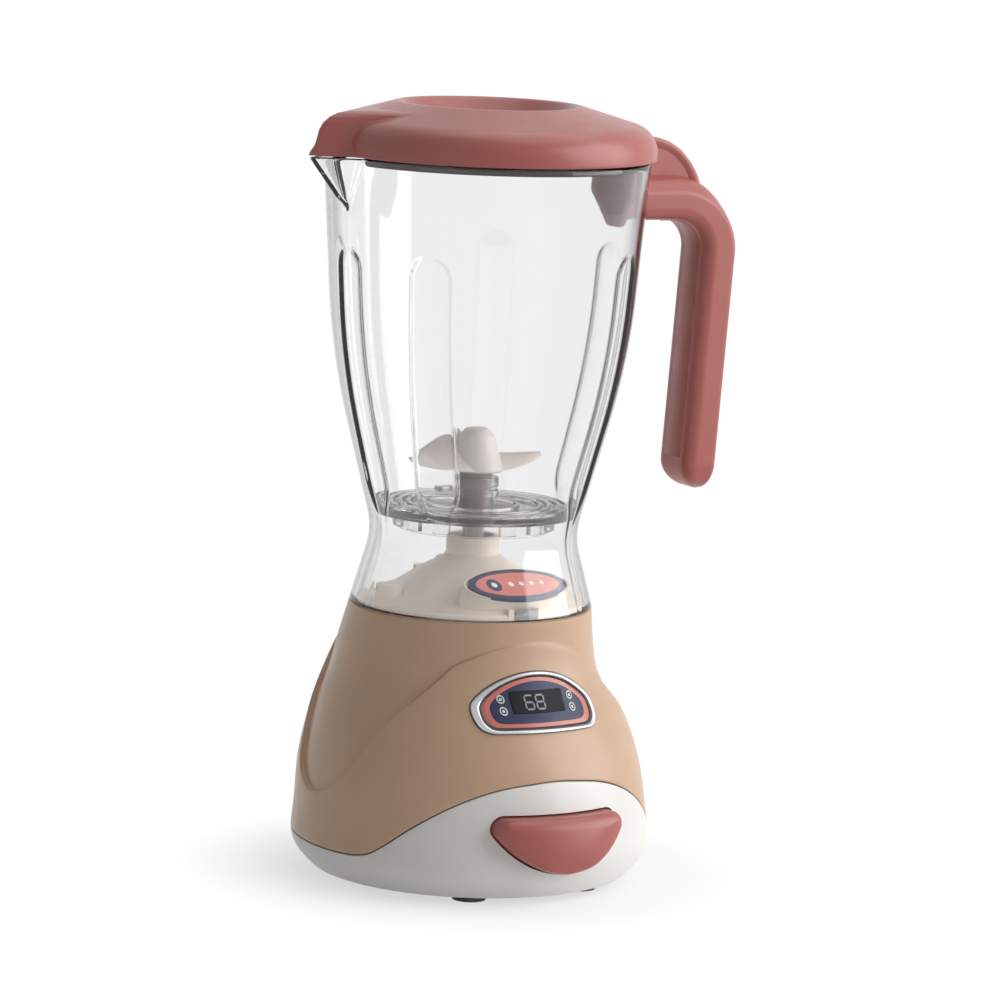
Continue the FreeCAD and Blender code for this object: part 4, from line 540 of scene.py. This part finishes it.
def make_base():
    housing = grid("upper_housing_shell", [housing_column(angle) for angle in BASE_ANGLES])
    finish_piece(housing, BEIGE, "root", "beige_plastic", "upper_housing")

    tub = grid("base_tub_shell", [tub_column(angle) for angle in BASE_ANGLES], True, False)
    opening_line = button_outline(0.6)
    opening = rings("cutter", [flat_loop(opening_line, -90), flat_loop(opening_line, -40)])
    half, front, back = 29.6, -29.8, 25.8
    door_line = ((-half, front), (half, front), (half, back), (-half, back))
    door_highs = (FOOT_HIGH - 1, FOOT_HIGH + WALL + 1)
    door = rings("cutter", [[(x, y, z) for x, y in door_line] for z in door_highs])
    screw_far, screw_rad = 50, 3.1
    screws = [disc_cutter(screw_far * math.cos(turn), screw_far * math.sin(turn), screw_rad, 1, 6)
              for turn in map(math.radians, (40, 140, 220, 320))]
    carve(tub, opening, door, *screws)
    finish_piece(tub, WHITE, "root", "white_plastic", "base_tub")


BUTTON_FRONT, BUTTON_BACK, BUTTON_MIDDLE = -77.4, -55.2, 23.0
# The radii of the button's face across and up, how far it stands proud of the base, and its blend.
BUTTON_TURN, BUTTON_ROLL, BUTTON_PROUD, BUTTON_BLEND = 45.0, 32.0, 7.5, 0.8


def button_face(outline, behind=0.0):
    """An outline laid on the button's face, which is rounded both ways, or a distance behind it."""
    x, z = outline[:, 0], outline[:, 1]
    turned = BUTTON_FRONT + BUTTON_TURN - np.sqrt(BUTTON_TURN ** 2 - x ** 2)
    rolled = BUTTON_FRONT + BUTTON_ROLL - np.sqrt(BUTTON_ROLL ** 2 - (z - BUTTON_MIDDLE) ** 2)
    y = soft_max(soft_max(turned, rolled, BUTTON_BLEND), front_y(x, z, BUTTON_PROUD), BUTTON_BLEND)
    return np.stack([x, y + behind, z], axis=1)


def make_button():
    outline = button_outline()
    ahead = np.roll(outline, -1, axis=0) - np.roll(outline, 1, axis=0)
    upward = np.clip(-ahead[:, 0] / np.linalg.norm(ahead, axis=1), 0, 1) ** 6
    edge, bevel = 1.5, 2.4
    loops = [flat_loop(outline, BUTTON_BACK), button_face(outline, 4.0)]
    for share in np.linspace(0, 1, 7):
        turn = share * math.pi / 2
        inset = edge * (1 - math.cos(turn)) + upward * bevel * share
        loops.append(button_face(inward(outline, inset), 2.6 * (1 - math.sin(turn))))
    face = inward(outline, edge + upward * bevel)
    centre = np.array([0.0, 23.6])
    for scale in np.linspace(0.94, 0.06, 14):
        loops.append(button_face(centre + (face - centre) * scale))
    button = rings("start_button_cap", loops)
    finish_piece(button, TERRACOTTA, "button", "terracotta_plastic", "start_button")


# ---------------------------------------------------------------- display panel

def panel_outline(inset):
    """A D lying on its flat side; its sides draw in nearly twice as far as its top and foot."""
    half, low, side, top = 25.6 - inset * 1.9, 61.0 + inset, 70.0, 81.3 - inset
    rise = top - side
    bend = (half ** 2 + rise ** 2) / (2 * rise)
    corner = max(1.0, 4.5 - inset * 0.6)
    first = math.asin((side - top + bend) / bend)
    arc_angles = np.linspace(first, math.pi - first, 40)
    arc = [(bend * math.cos(a), top - bend + bend * math.sin(a)) for a in arc_angles]
    lower = rounded([(-half, side), (-half, low, corner), (half, low, corner), (half, side)],
                    closed=False, steps=8)
    return softened(spread(np.vstack([arc, lower[1:-1]]), 220), 22)


def plate(name, outline_at, centre, steps, sunk):
    """A plate on the front skin: its edge goes through (inset, proud) steps, then shrinks to the centre.

    outline_at gives the outline at an inset; sunk is how deep the edge begins.
    """
    last_inset, last_proud = steps[-1]
    loops = [front_loop(outline_at(0.0), sunk)]
    loops += [front_loop(outline_at(inset), proud) for inset, proud in steps]
    face = outline_at(last_inset)
    for scale in np.linspace(0.9, 0.05, 8):
        loops.append(front_loop(centre + (face - centre) * scale, last_proud))
    return rings(name, loops)


def skin_ring(name, outline_at, steps):
    """A closed ring on the front skin through (inset, proud) steps."""
    return grid(name, [front_loop(outline_at(inset), proud) for inset, proud in steps])


SEGMENTS = {"6": "afgecd", "8": "abcdefg"}


def digit(x, z, high, symbol):
    """The bars of a seven-segment digit as outlines."""
    wide, thick, gap = high * 0.70, high * 0.12, high * 0.03
    half = high / 2
    ends = {"a": ((0, high), (wide, high)), "b": ((wide, half), (wide, high)), "c": ((wide, 0), (wide, half)),
            "d": ((0, 0), (wide, 0)), "e": ((0, 0), (0, half)), "f": ((0, half), (0, high)),
            "g": ((0, half), (wide, half))}
    bars = []
    for bar in SEGMENTS[symbol]:
        start, end = (np.array(spot, float) for spot in ends[bar])
        along = (end - start) / np.linalg.norm(end - start)
        start, end = start + along * (gap + thick / 2), end - along * (gap + thick / 2)
        side = np.array([-along[1], along[0]]) * thick / 2
        outline = [start - along * thick / 2, start - side, end - side,
                   end + along * thick / 2, end + side, start + side]
        bars.append(np.array(outline) + (x, z))
    return bars


def make_panel():
    seat_steps = [(-0.12, -1.0), (-0.12, 0.12), (0.1, 0.16), (0.3, 0.1), (0.3, -1.0)]
    finish_piece(skin_ring("panel_seat_line", panel_outline, seat_steps), DARK, "root", "panel_plastic")
    bezel_steps = [(0.12, -1.0), (0.12, 0.7), (0.25, 1.05), (0.5, 1.28), (0.8, 1.3), (1.1, 1.18),
                   (1.3, 0.95), (1.35, 0.3), (1.35, -1.0)]
    bezel = skin_ring("panel_bezel_ring", panel_outline, bezel_steps)
    finish_piece(bezel, SILVER, "root", "silver_plastic", "panel_bezel")

    line_steps = [(1.3, -0.4), (1.3, 0.92), (1.5, 1.0), (1.75, 0.8), (1.9, 0.62), (1.9, -0.4)]
    finish_piece(skin_ring("panel_inner_line", panel_outline, line_steps), DARK, "root", "panel_plastic")
    centre, ring_inset, print_inset = np.array([0.0, 71.0]), 1.9, 3.3
    ring = plate("panel_ring", lambda inset: panel_outline(ring_inset + inset), centre,
                 [(0.0, 0.3), (0.15, 0.55), (0.9, 0.6)], -1.2)
    finish_piece(ring, CORAL, "root", "panel_plastic", "panel_face")
    face = plate("panel_print", lambda inset: panel_outline(print_inset + inset), centre,
                 [(0.0, 0.5), (0.1, 0.75), (0.3, 0.8)], 0.3)
    finish_piece(face, NAVY, "root", "panel_plastic")

    half, low, tall, aside, bend = 10.9, 67.4, 7.4, 0.5, 0.8
    corners = [(-half - aside, low, bend), (half - aside, low, bend),
               (half - aside, low + tall, bend), (-half - aside, low + tall, bend)]
    window_line = spread(rounded(corners), 160)
    window = plate("display_window_pane", lambda inset: inward(window_line, inset),
                   np.array([-aside, low + tall / 2]), [(0.0, 0.85), (0.2, 1.05), (0.4, 1.1)], -1.2)
    finish_piece(window, BLACK, "root", "display_plastic", "display_window")
    bars = []
    for place, symbol in ((-5.9, "6"), (-1.4, "8")):
        for bar in digit(place, 68.8, 4.5, symbol):
            bars.append(rings("bar", [front_loop(bar, 1.0), front_loop(bar, 1.16)]))
    finish_piece(join("display_digits", bars), INK, "root", "display_plastic")

    keys = []
    key_rad, dot_share, turns = 1.4, 0.35, directions(48)
    key_steps = [(0.0, 0.5), (0.0, 0.95), (0.12, 1.08), (0.3, 1.1), (0.42, 1.0), (0.46, 0.5)]
    for x, z in ((x, z) for x in (-14.7, 13.7) for z in (68.4, 72.2)):
        circle = np.stack([x + key_rad * np.cos(turns), z + key_rad * np.sin(turns)], axis=1)
        keys.append(skin_ring("key", lambda inset: inward(circle, inset), key_steps))
        dot = np.array([x, z]) + (circle - (x, z)) * dot_share
        keys.append(rings("key_dot", [front_loop(dot, 0.7), front_loop(dot, 0.98)]))
    finish_piece(join("panel_key_rings", keys), PALE, "root", "silver_plastic", "panel_keys")


# ---------------------------------------------------------------- deck

def sector(name, rad_low, rad_high, low, high, first, last, steps=8):
    """A block between two radii, two heights and two directions in degrees."""
    loops = []
    for angle in np.radians(np.linspace(first, last, steps)):
        spots = ((rad_low, low), (rad_high, low), (rad_high, high), (rad_low, high))
        loops.append([(rad * math.cos(angle), rad * math.sin(angle), z) for rad, z in spots])
    return rings(name, loops)


BADGE_Y, BADGE_Z, BADGE_LEAN = -31.3, 109.7, math.radians(28.0)


def badge_loop(long, wide, lift, beside):
    """An oval on the plinth's sloping top, at a height over that top and a distance beside its middle."""
    turns = directions(96)
    along, across = beside + long / 2 * np.cos(turns), wide / 2 * np.sin(turns)
    y = BADGE_Y + across * math.cos(BADGE_LEAN) - lift * math.sin(BADGE_LEAN)
    z = BADGE_Z + across * math.sin(BADGE_LEAN) + lift * math.cos(BADGE_LEAN)
    return np.stack([along, y, z], axis=1)


def badge_disc(name, long, wide, low, high, beside=0.0):
    """A printed oval with a softened edge."""
    return rings(name, [badge_loop(long, wide, low, beside),
                        badge_loop(long, wide, high - 0.1, beside),
                        badge_loop(long - 0.25, wide - 0.25, high, beside),
                        badge_loop(long * 0.5, wide * 0.5, high, beside)])


def make_badge():
    border = badge_disc("badge_border", 38.6, 17.6, -0.75, 0.62)
    finish_piece(border, NAVY, "root", "badge_plastic", "badge_plate")
    finish_piece(badge_disc("badge_field", 33.4, 13.4, 0.3, 0.72), CORAL, "root", "badge_plastic")
    spot_beside, row_start, row_step = -9.5, -2.6, 4.2
    spot = badge_disc("badge_spot", 5.6, 7.0, 0.4, 0.82, spot_beside)
    finish_piece(spot, NAVY, "root", "badge_plastic")
    dots = [badge_disc("dot", 2.2, 2.8, 0.5, 0.92, spot_beside)]
    for index in range(4):
        long, wide = 2.0 - 0.25 * index, 2.6 - 0.3 * index
        dots.append(badge_disc("dot", long, wide, 0.4, 0.84, row_start + row_step * index))
    finish_piece(join("badge_dots", dots), PALE, "root", "badge_plastic")


def make_latch():
    # The grey block stands in the latch slot: its grey is painted shade of the slot's hollow.
    latch_slot_shade = sector("deck_latch", 38.6, 40.9, 99.2, 102.0, -98.2, -85.4)
    finish_piece(latch_slot_shade, GREY, "root", "dark_plastic")
    frame_blocks = [sector("block", 37.6, 40.75, 98.2, 102.6, first, last, 4)
                    for first, last in ((-101.5, -98.6), (-85.0, -82.4))]
    finish_piece(join("deck_latch_frame", frame_blocks), CREAM, "root", "cream_plastic")


# ---------------------------------------------------------------- jug

# The jug's outside from its lip down, as (radius, height), read from below.
JUG_LINE = rounded([(JUG_LIP_RAD, JUG_TOP), (53.7, 188.2, 266.0), (36.9, 124.9, 26.6), (44.2, JUG_LOW)],
                   closed=False, steps=14)[::-1]
# The flutes: direction, radius of the round groove and its depth; the one at -140 is narrower and steeper.
FLUTES = [(0, 14.0, 2.5), (54.5, 14.0, 2.5), (141, 14.0, 2.5), (180, 14.0, 2.5), (-140, 11.0, 4.3),
          (-54.5, 14.0, 2.5)]
FLUTE_TOP, FLUTE_LOW = 221.0, 139.0
SPOUT_LOW, SPOUT_BEND = 242.6, 246.3
# How far the point of the spout is blunted and how far to its sides it reaches, in radians.
NOSE_BLUNT, NOSE_WIDE = 0.01, 0.7


def jug_rad(z):
    """The jug's outer radius at a height, without its flutes and spout."""
    return np.interp(z, JUG_LINE[:, 1], JUG_LINE[:, 0])


def side_loop(outline, off):
    """An outline of (y, z) laid on the handle's side of the jug, a distance off it."""
    y, z = outline[:, 0], outline[:, 1]
    return np.stack([np.sqrt((jug_rad(z) + off) ** 2 - y ** 2), y, z], axis=1)


def spout_off(angle):
    """How far directions lie from the spout's."""
    return np.abs(np.arctan2(np.sin(angle - math.pi), np.cos(angle - math.pi)))


def pointed(angle, tip, slope):
    """The reach of a pointed nose towards the spout; slope is its half width over its length."""
    off = np.sqrt(np.clip(spout_off(angle), 0, 1.0) ** 2 + NOSE_BLUNT ** 2)
    blunt = 1 + math.sin(NOSE_BLUNT) / slope
    return np.where(off < NOSE_WIDE, tip * blunt / (np.cos(off) + np.sin(off) / slope), 0.0)


def jug_outer(angle, z):
    """The jug's outside: a round side, flutes sunk in it and the spout."""
    rad = jug_rad(z)
    shape = rad * np.ones_like(angle)
    above = np.clip(z - FLUTE_TOP, 0, None)
    fade = smooth((z - FLUTE_LOW + 9) / 16)
    for direction, groove_rad, deep in FLUTES:
        tool = np.sqrt(np.clip(groove_rad ** 2 - above ** 2, 0, None))
        out = rad + groove_rad - deep * fade
        off = angle - math.radians(direction)
        off = np.arctan2(np.sin(off), np.cos(off))
        beside = out * np.sin(off)
        near = np.where((np.abs(beside) < tool) & (np.cos(off) > 0),
                        out * np.cos(off) - np.sqrt(np.clip(tool ** 2 - beside ** 2, 0, None)), 1e3)
        shape = soft_min(shape, near, 0.25)
    tip = np.interp(z, [SPOUT_LOW, SPOUT_BEND, JUG_TOP], [56.0, 61.2, SPOUT_REACH])
    return soft_max(shape, np.where(z > SPOUT_LOW, pointed(angle, tip, 0.62), 0.0), 0.8)


def make_jug():
    angles = directions(720)
    highs = np.concatenate([np.linspace(JUG_LOW + 0.6, 120, 10), np.linspace(121, 152, 22),
                            np.linspace(154, 212, 24), np.linspace(213, 233, 22), np.linspace(235, JUG_TOP - 1.1, 16)])
    rows = [(high, 0.0) for high in highs]
    lip_edge = ((0.5, 0.15), (0.1, 0.6), (0.0, 1.2), (0.1, 1.8), (0.6, 2.3))
    rows += [(JUG_TOP - down, inset) for down, inset in lip_edge]
    rows += [(high, JUG_WALL) for high in highs[::-1]]
    rows += [(JUG_LOW + 0.1, 1.9), (JUG_LOW, 1.2), (JUG_LOW + 0.1, 0.5)]
    loops = [polar_loop(angles, jug_outer(angles, high) - inset, high) for high, inset in rows]
    jug = grid("jug_wall", loops, True, True, 50)
    finish_piece(jug, CLEAR, "jug", "clear_plastic", "jug_shell")

    corners = [(-5.0, 238.0, 2.5), (8.0, 238.0, 2.5), (8.0, 251.0, 0.6), (-5.0, 251.0, 0.6)]
    lug_line = spread(rounded(corners), 80)
    lug = rings("jug_lug_root", [side_loop(lug_line, off) for off in (0.04, 0.26)])
    finish_piece(lug, GREY, "jug", "clear_plastic")


def make_floor_ring():
    """The jug's floor: ribs and three stops above, a collar with tabs below and a hub in the middle."""
    low, top, collar_low = 132.0, 134.4, 126.4
    rib_edge = ((0.0, 0.0), (0.2, 1.1), (0.9, 1.25), (1.5, 1.1), (1.7, 0.0))
    profile = [(6.3, low), (26.2, low), (26.2, collar_low), (27.6, collar_low), (27.6, low), (35.4, low),
               (35.4, top)]
    for rad in (34.6, 31.2, 27.8, 24.6, 16.5):
        profile += [(rad - inset, top + up) for inset, up in rib_edge]
    profile += [(14.0, top), (14.0, top - 0.8), (7.6, top - 0.8), (6.9, top - 0.2), (6.9, 138.2),
                (8.3, 138.4), (8.6, 138.9), (8.6, 140.6), (7.9, 140.8), (7.9, 141.6), (8.6, 141.8),
                (8.6, 144.6), (8.3, 145.2), (6.3, 145.2)]
    pieces = [revolve("floor_disc", np.array(profile))]
    for angle in range(0, 360, 24):
        pieces.append(sector("floor_tab", 27.5, 29.6, 127.4, low + 0.1, angle - 6, angle + 6, 4))
    for angle in (75, 195, 315):
        pieces.append(sector("floor_stop", 30.0, 34.0, top, 136.6, angle - 4, angle + 4, 4))
    finish_piece(join("jug_floor_ring", pieces), SMOKE, "jug", "clear_plastic", "jug_floor")


# ---------------------------------------------------------------- impeller

def wing(heading, lows, highs, wide, taper):
    """A broad thin blade; it rises from its -Y edge to its +Y edge, both heights falling to the tip."""
    root, reach, thick, belly = 3.0, 27.4, 0.7, 0.9
    loops = []
    for share in np.linspace(0, 1, 22):
        half = wide * (1 - 0.86 * share ** taper)
        low, high = (np.interp(share, [0.0, 0.3, 0.6, 0.85, 1.0], heights) for heights in (lows, highs))
        loop = []
        for turn in directions(36):
            across = math.cos(turn)
            middle = (low + high) / 2 + (high - low) / 2 * across + belly * (1 - across ** 2)
            loop.append((heading * (root + (reach - root) * share), half * across,
                         middle + thick * (1 - 0.4 * share) * math.sin(turn)))
        loops.append(loop)
    return rings("wing", loops, sharp=50)


def make_impeller():
    profile = rounded([(0.0, 147.2), (10.3, 147.2, 0.8), (8.4, 153.5, 12.0), (6.6, 160.0, 6.0),
                       (4.0, 162.9, 3.0), (0.0, 163.0)], closed=False, steps=8)
    dome = revolve("dome", profile, closed=False)
    raised = wing(-1, [148.2, 148.2, 149.0, 150.4, 151.3], [161.6, 158.8, 154.8, 152.8, 152.2], 8.6, 1.6)
    flat = wing(1, [148.0, 148.0, 148.9, 150.2, 151.0], [153.4, 152.4, 152.2, 152.4, 152.2], 8.0, 1.6)
    whisk = join("impeller_whisk", [dome, raised, flat])
    finish_piece(whisk, BLADE, "impeller", "blade_plastic", "impeller")


# ---------------------------------------------------------------- lid

# The ridge of the cover over the spout: height, distance from the axis, half width over length.
VISOR_RIDGE = np.array([
    (261.8, 73.25, 0.65), (262.4, 73.2, 0.64), (263.1, 72.9, 0.60), (265.5, 71.1, 0.56), (267.3, 70.5, 0.54),
    (270.8, 69.6, 0.54), (273.4, 68.0, 0.56), (275.4, 65.4, 0.60), (276.7, 62.4, 0.66), (277.7, 56.0, 0.80)])


def lid_visor(angle, z, inset):
    """How far the pointed cover over the spout reaches at a height, or its inside an inset further in."""
    tip = np.interp(z + inset, VISOR_RIDGE[:, 0], VISOR_RIDGE[:, 1]) - inset
    slope = np.interp(z, VISOR_RIDGE[:, 0], VISOR_RIDGE[:, 2])
    return pointed(angle, tip, slope)


def make_lid():
    angles = directions(540)
    crest, dish_inner, inside_rad, inside_top = 280.35, DISH_RAD - 9.0, LID_RAD - LID_WALL, 270.6
    outer = rounded([(0.0, DISH_HIGH), (dish_inner, DISH_HIGH, 12.0), (DISH_RAD, crest, 3.6),
                     (LID_RAD, 272.0, 10.5), (LID_RAD, LID_LOW + 0.4)], closed=False, steps=12)
    rim_outer = [(LID_RAD - 0.15, LID_LOW + 0.1), (LID_RAD - 0.5, LID_LOW)]
    rim_inner = [(LID_RAD - 1.8, LID_LOW), (inside_rad, LID_LOW + 0.4)]
    inner = rounded([(inside_rad, LID_LOW + 0.6), (inside_rad, inside_top, 8.0), (DISH_RAD + 1.5, 277.0, 1.0),
                     (dish_inner, inside_top, 8.0), (0.0, inside_top)], closed=False, steps=6)
    outer, inner = spread(outer, 110, closed=False), spread(inner, 50, closed=False)
    visor_rad, visor_top, visor_blend = 42, 277.7, 1.1
    loops = []
    for inset, rows in ((0.0, outer), (0.0, rim_outer), (LID_WALL, rim_inner), (LID_WALL, inner)):
        for rad, high in rows:
            reach = rad
            if rad > visor_rad and high < visor_top:
                reach = soft_max(rad, lid_visor(angles, high, inset), visor_blend)
            loops.append(polar_loop(angles, reach, high))
    cover = grid("lid_cover", loops, False, True, 50)
    finish_piece(cover, TERRACOTTA, "lid", "terracotta_plastic", "lid_shell")

    # The plug is a thin ring; its lower edge is cut away over the spout. Its near-black colour is painted shade.
    low = 258.7 + 2.7 * smooth((0.20 - spout_off(angles)) / 0.07)
    shelf, top = 261.55, 263.4
    ring_rows = [(53.9, low), (55.9, low), (55.9, shelf), (58.3, shelf), (58.3, top), (53.9, top)]
    plug = grid("lid_plug_ring", [polar_loop(angles, rad, high) for rad, high in ring_rows])
    finish_piece(plug, PLUG_IN_SHADE, "lid", "plug_plastic", "lid_plug")


# ---------------------------------------------------------------- handle

def grip_section(half_thick, crown):
    """The bar's section as (across, deep): flat sides, round inner edges and a crowned outer side."""
    half_wide, inner_bend, outer_bend = 10.5, 4.6, 1.7
    crowned = [(a * half_wide, half_thick - crown * a * a) for a in np.linspace(0.88, -0.88, 15)]
    edge = half_thick - crown * 0.95
    corners = [(-half_wide, -half_thick, inner_bend), (half_wide, -half_thick, inner_bend)]
    corners += [(half_wide, edge, outer_bend), *crowned, (-half_wide, edge, outer_bend)]
    return spread(rounded(corners, steps=8), 96)


def make_handle():
    line = rounded([(52.0, 245.8), (97.8, 245.8, 19.5), (91.2, 137.0)], closed=False, steps=30)
    line = spread(line, 150, closed=False)
    along = np.gradient(line, axis=0)
    along /= np.linalg.norm(along, axis=1)[:, None]
    side = np.stack([-along[:, 1], along[:, 0]], axis=1)
    distance = np.concatenate([[0], np.cumsum(np.linalg.norm(np.diff(line, axis=0), axis=1))])
    left = distance[-1] - distance
    loops, strip = [], []
    round_end, bend_start, bend_long = 10.0, 27.0, 30.0
    # The bar is fitted to the jug's side up to jug_end; the strip inside the grip begins at strip_start.
    jug_end, strip_start, strip_stop = 64, 72, 11
    strip_edge = ((-5.0, 0.6), (5.0, 0.6), (5.6, 0.0), (5.0, -0.4), (-5.0, -0.4), (-5.6, 0.0))
    for spot, normal, along_line, rest in zip(line, side, distance, left):
        upright = smooth((along_line - bend_start) / bend_long)
        half_thick = 8.3 - 0.95 * upright
        across, deep = grip_section(half_thick, 6.4 - 4.2 * upright).T
        shrink = max(0.06, math.sqrt(max(0.0, 1 - (1 - min(rest, round_end) / round_end) ** 2)))
        shift = (1 - shrink) * 3.0
        x = spot[0] + normal[0] * (deep * shrink + shift)
        z = spot[1] + normal[1] * (deep * shrink + shift)
        y = across * (0.15 + 0.85 * shrink)
        if spot[0] < jug_end:
            x = np.maximum(x, np.sqrt(np.clip((jug_rad(z) + 0.3) ** 2 - y ** 2, 0, None)))
        loops.append(np.stack([x, y, z], axis=1))
        if spot[0] > strip_start and rest > strip_stop:
            places = [(off, *(spot + normal * (up - half_thick))) for off, up in strip_edge]
            strip.append([(along_x, off, along_z) for off, along_x, along_z in places])
    bar = rings("bar", loops, sharp=28)
    cover = rings("handle_cover_strip", strip)
    finish_piece(cover, TERRACOTTA, "jug", "terracotta_plastic", "handle_cover")

    rest_line = np.array([(61.8, 247.0), (61.8, 268.3), (66.5, 268.1), (70.9, 267.3), (75.6, 265.9), (80.7, 262.9),
                          (85.2, 258.3), (88.0, 254.2), (89.6, 250.5), (90.0, 247.0)])
    rest_line = softened(spread(rest_line, 160), 8)
    rest_loops = []
    middle, rest_half_wide = np.array([74.0, 253.0]), 13.0
    # One side of the thumb rest from its recess over its rim to its edge: distance aside and inset.
    side_steps = [(2.8, 3.0), (2.8, 3.6), (3.2, 2.8), (3.6, 2.0), (3.6, 0.9), (3.4, 0.35), (3.0, 0.0)]
    for sign, order in ((-1, side_steps), (1, side_steps[::-1])):
        for out, inset in order:
            outline = middle + (rest_line - middle) * (1 - inset / rest_half_wide)
            rest_loops.append(flat_loop(outline, sign * out))
    thumb_rest = rings("thumb_rest", rest_loops)

    pad_line = rounded([(-16.0, 256.8, 3.0), (-16.0, 246.5, 3.0), (-5.0, 234.6, 3.0), (5.0, 234.6, 3.0),
                        (16.0, 246.5, 3.0), (16.0, 256.8, 3.0)], steps=8)
    pad_line = spread(pad_line, 120)
    pad_steps = ((0.3, 0.6), (0.3, 0.0), (2.6, 0.0), (3.2, 0.3), (3.5, 1.0))
    pad = rings("pad", [side_loop(inward(pad_line, inset), off) for off, inset in pad_steps])
    handle = join("handle_grip", [bar, thumb_rest, pad])
    finish_piece(handle, TERRACOTTA, "jug", "terracotta_plastic", "handle_shell")


# ---------------------------------------------------------------- stage, camera and light

VIEW_AZIMUTH, VIEW_FAR, VIEW_HIGH, VIEW_DOWN = math.radians(-31), 1792.0, 409.0, math.radians(8.65)
VIEW_ROLL, VIEW_YAW = math.radians(2.3), math.radians(0.297)
FOCUS_PIXELS, FRAME_PIXELS, SENSOR = 5000.0, 1000.0, 36.0


def make_camera():
    camera = bpy.data.objects.new("camera", bpy.data.cameras.new("camera"))
    bpy.context.scene.collection.objects.link(camera)
    camera.data.sensor_width = SENSOR
    camera.data.lens = SENSOR * FOCUS_PIXELS / FRAME_PIXELS
    camera.data.clip_start, camera.data.clip_end = 0.1, 50
    place = Vector((VIEW_FAR * math.sin(VIEW_AZIMUTH), -VIEW_FAR * math.cos(VIEW_AZIMUTH), VIEW_HIGH)) * MM
    heading = Vector((-place.x, -place.y, 0)).normalized()
    heading.rotate(Matrix.Rotation(-VIEW_YAW, 3, "Z"))
    forward = (heading * math.cos(VIEW_DOWN) - Vector((0, 0, 1)) * math.sin(VIEW_DOWN)).normalized()
    right = forward.cross(Vector((0, 0, 1))).normalized()
    up = right.cross(forward)
    rolled_up = up * math.cos(VIEW_ROLL) - right * math.sin(VIEW_ROLL)
    rolled_right = right * math.cos(VIEW_ROLL) + up * math.sin(VIEW_ROLL)
    turned = Matrix((rolled_right, rolled_up, -forward)).transposed().to_4x4()
    camera.matrix_world = Matrix.Translation(place) @ turned
    bpy.context.scene.camera = camera


def area_lamp(name, place, aim, size, power):
    """A rectangular lamp turned to a spot; places in metres."""
    lamp = bpy.data.objects.new(name, bpy.data.lights.new(name, "AREA"))
    bpy.context.scene.collection.objects.link(lamp)
    lamp.data.shape = "RECTANGLE"
    lamp.data.size, lamp.data.size_y = size
    lamp.data.energy = power
    lamp.location = place
    lamp.rotation_euler = (Vector(aim) - Vector(place)).to_track_quat("-Z", "Y").to_euler()


def white_when_seen(nodes, links, plain, output_socket, share=None):
    """Shows white to the camera, in reflections and through clear plastic, and the plain shader to all else."""
    path = nodes.new("ShaderNodeLightPath")
    seen = path.outputs["Is Camera Ray"]
    for kind in ("Is Glossy Ray", "Is Transmission Ray"):
        either = nodes.new("ShaderNodeMath")
        either.operation = "MAXIMUM"
        links.new(seen, either.inputs[0])
        links.new(path.outputs[kind], either.inputs[1])
        seen = either.outputs["Value"]
    if share is not None:
        part = nodes.new("ShaderNodeMath")
        part.operation = "MULTIPLY"
        links.new(seen, part.inputs[0])
        links.new(share, part.inputs[1])
        seen = part.outputs["Value"]
    white = nodes.new("ShaderNodeBackground" if plain.type == "BACKGROUND" else "ShaderNodeEmission")
    white.inputs["Color"].default_value = (1, 1, 1, 1)
    white.inputs["Strength"].default_value = 1.0
    mix = nodes.new("ShaderNodeMixShader")
    links.new(seen, mix.inputs["Fac"])
    links.new(plain.outputs[0], mix.inputs[1])
    links.new(white.outputs[0], mix.inputs[2])
    links.new(mix.outputs["Shader"], output_socket)


def away_from_object(nodes, links, near, far, near_share):
    """A share that grows to 1 with the distance from the object's middle, on the floor."""
    place = nodes.new("ShaderNodeTexCoord")
    distance = nodes.new("ShaderNodeVectorMath")
    distance.operation = "LENGTH"
    links.new(place.outputs["Object"], distance.inputs[0])
    ranged = nodes.new("ShaderNodeMapRange")
    ranged.interpolation_type = "SMOOTHSTEP"
    ranged.inputs["From Min"].default_value = near
    ranged.inputs["From Max"].default_value = far
    ranged.inputs["To Min"].default_value = near_share
    ranged.inputs["To Max"].default_value = 1.0
    links.new(distance.outputs["Value"], ranged.inputs["Value"])
    return ranged.outputs["Result"]


def make_stage():
    world = bpy.data.worlds.new("studio")
    bpy.context.scene.world = world
    world.use_nodes = True
    nodes, links = world.node_tree.nodes, world.node_tree.links
    plain = nodes["Background"]
    plain.inputs["Color"].default_value = (0.95, 0.96, 1.0, 1)
    plain.inputs["Strength"].default_value = 0.15
    white_when_seen(nodes, links, plain, nodes["World Output"].inputs["Surface"])

    half = 4000
    floor_corners = [(-half, -half, 0), (half, -half, 0), (half, half, 0), (-half, half, 0)]
    floor = build("floor", floor_corners, [(0, 1, 2, 3)])
    material, nodes, links = tree("floor")
    shader = nodes["Principled BSDF"]
    shader.inputs["Base Color"].default_value = (0.93, 0.93, 0.93, 1)
    shader.inputs["Roughness"].default_value = 0.6
    share = away_from_object(nodes, links, 0.05, 0.11, 0.6)
    white_when_seen(nodes, links, shader, nodes["Material Output"].inputs["Surface"], share)
    floor.data.materials.append(material)

    area_lamp("key", (1.35, -1.0, 0.85), (0, 0, 0.15), (1.7, 1.7), 31)
    area_lamp("fill", (-1.5, -0.9, 0.6), (0, 0, 0.14), (1.4, 1.4), 1.1)
    area_lamp("top", (0.4, 0.1, 1.5), (0, 0, 0.1), (1.2, 1.2), 6)


make_base()
make_button()
make_panel()
make_badge()
make_latch()
make_jug()
make_floor_ring()
make_impeller()
make_lid()
make_handle()
make_stage()
make_camera()
bpy.context.scene.view_settings.view_transform = "Standard"
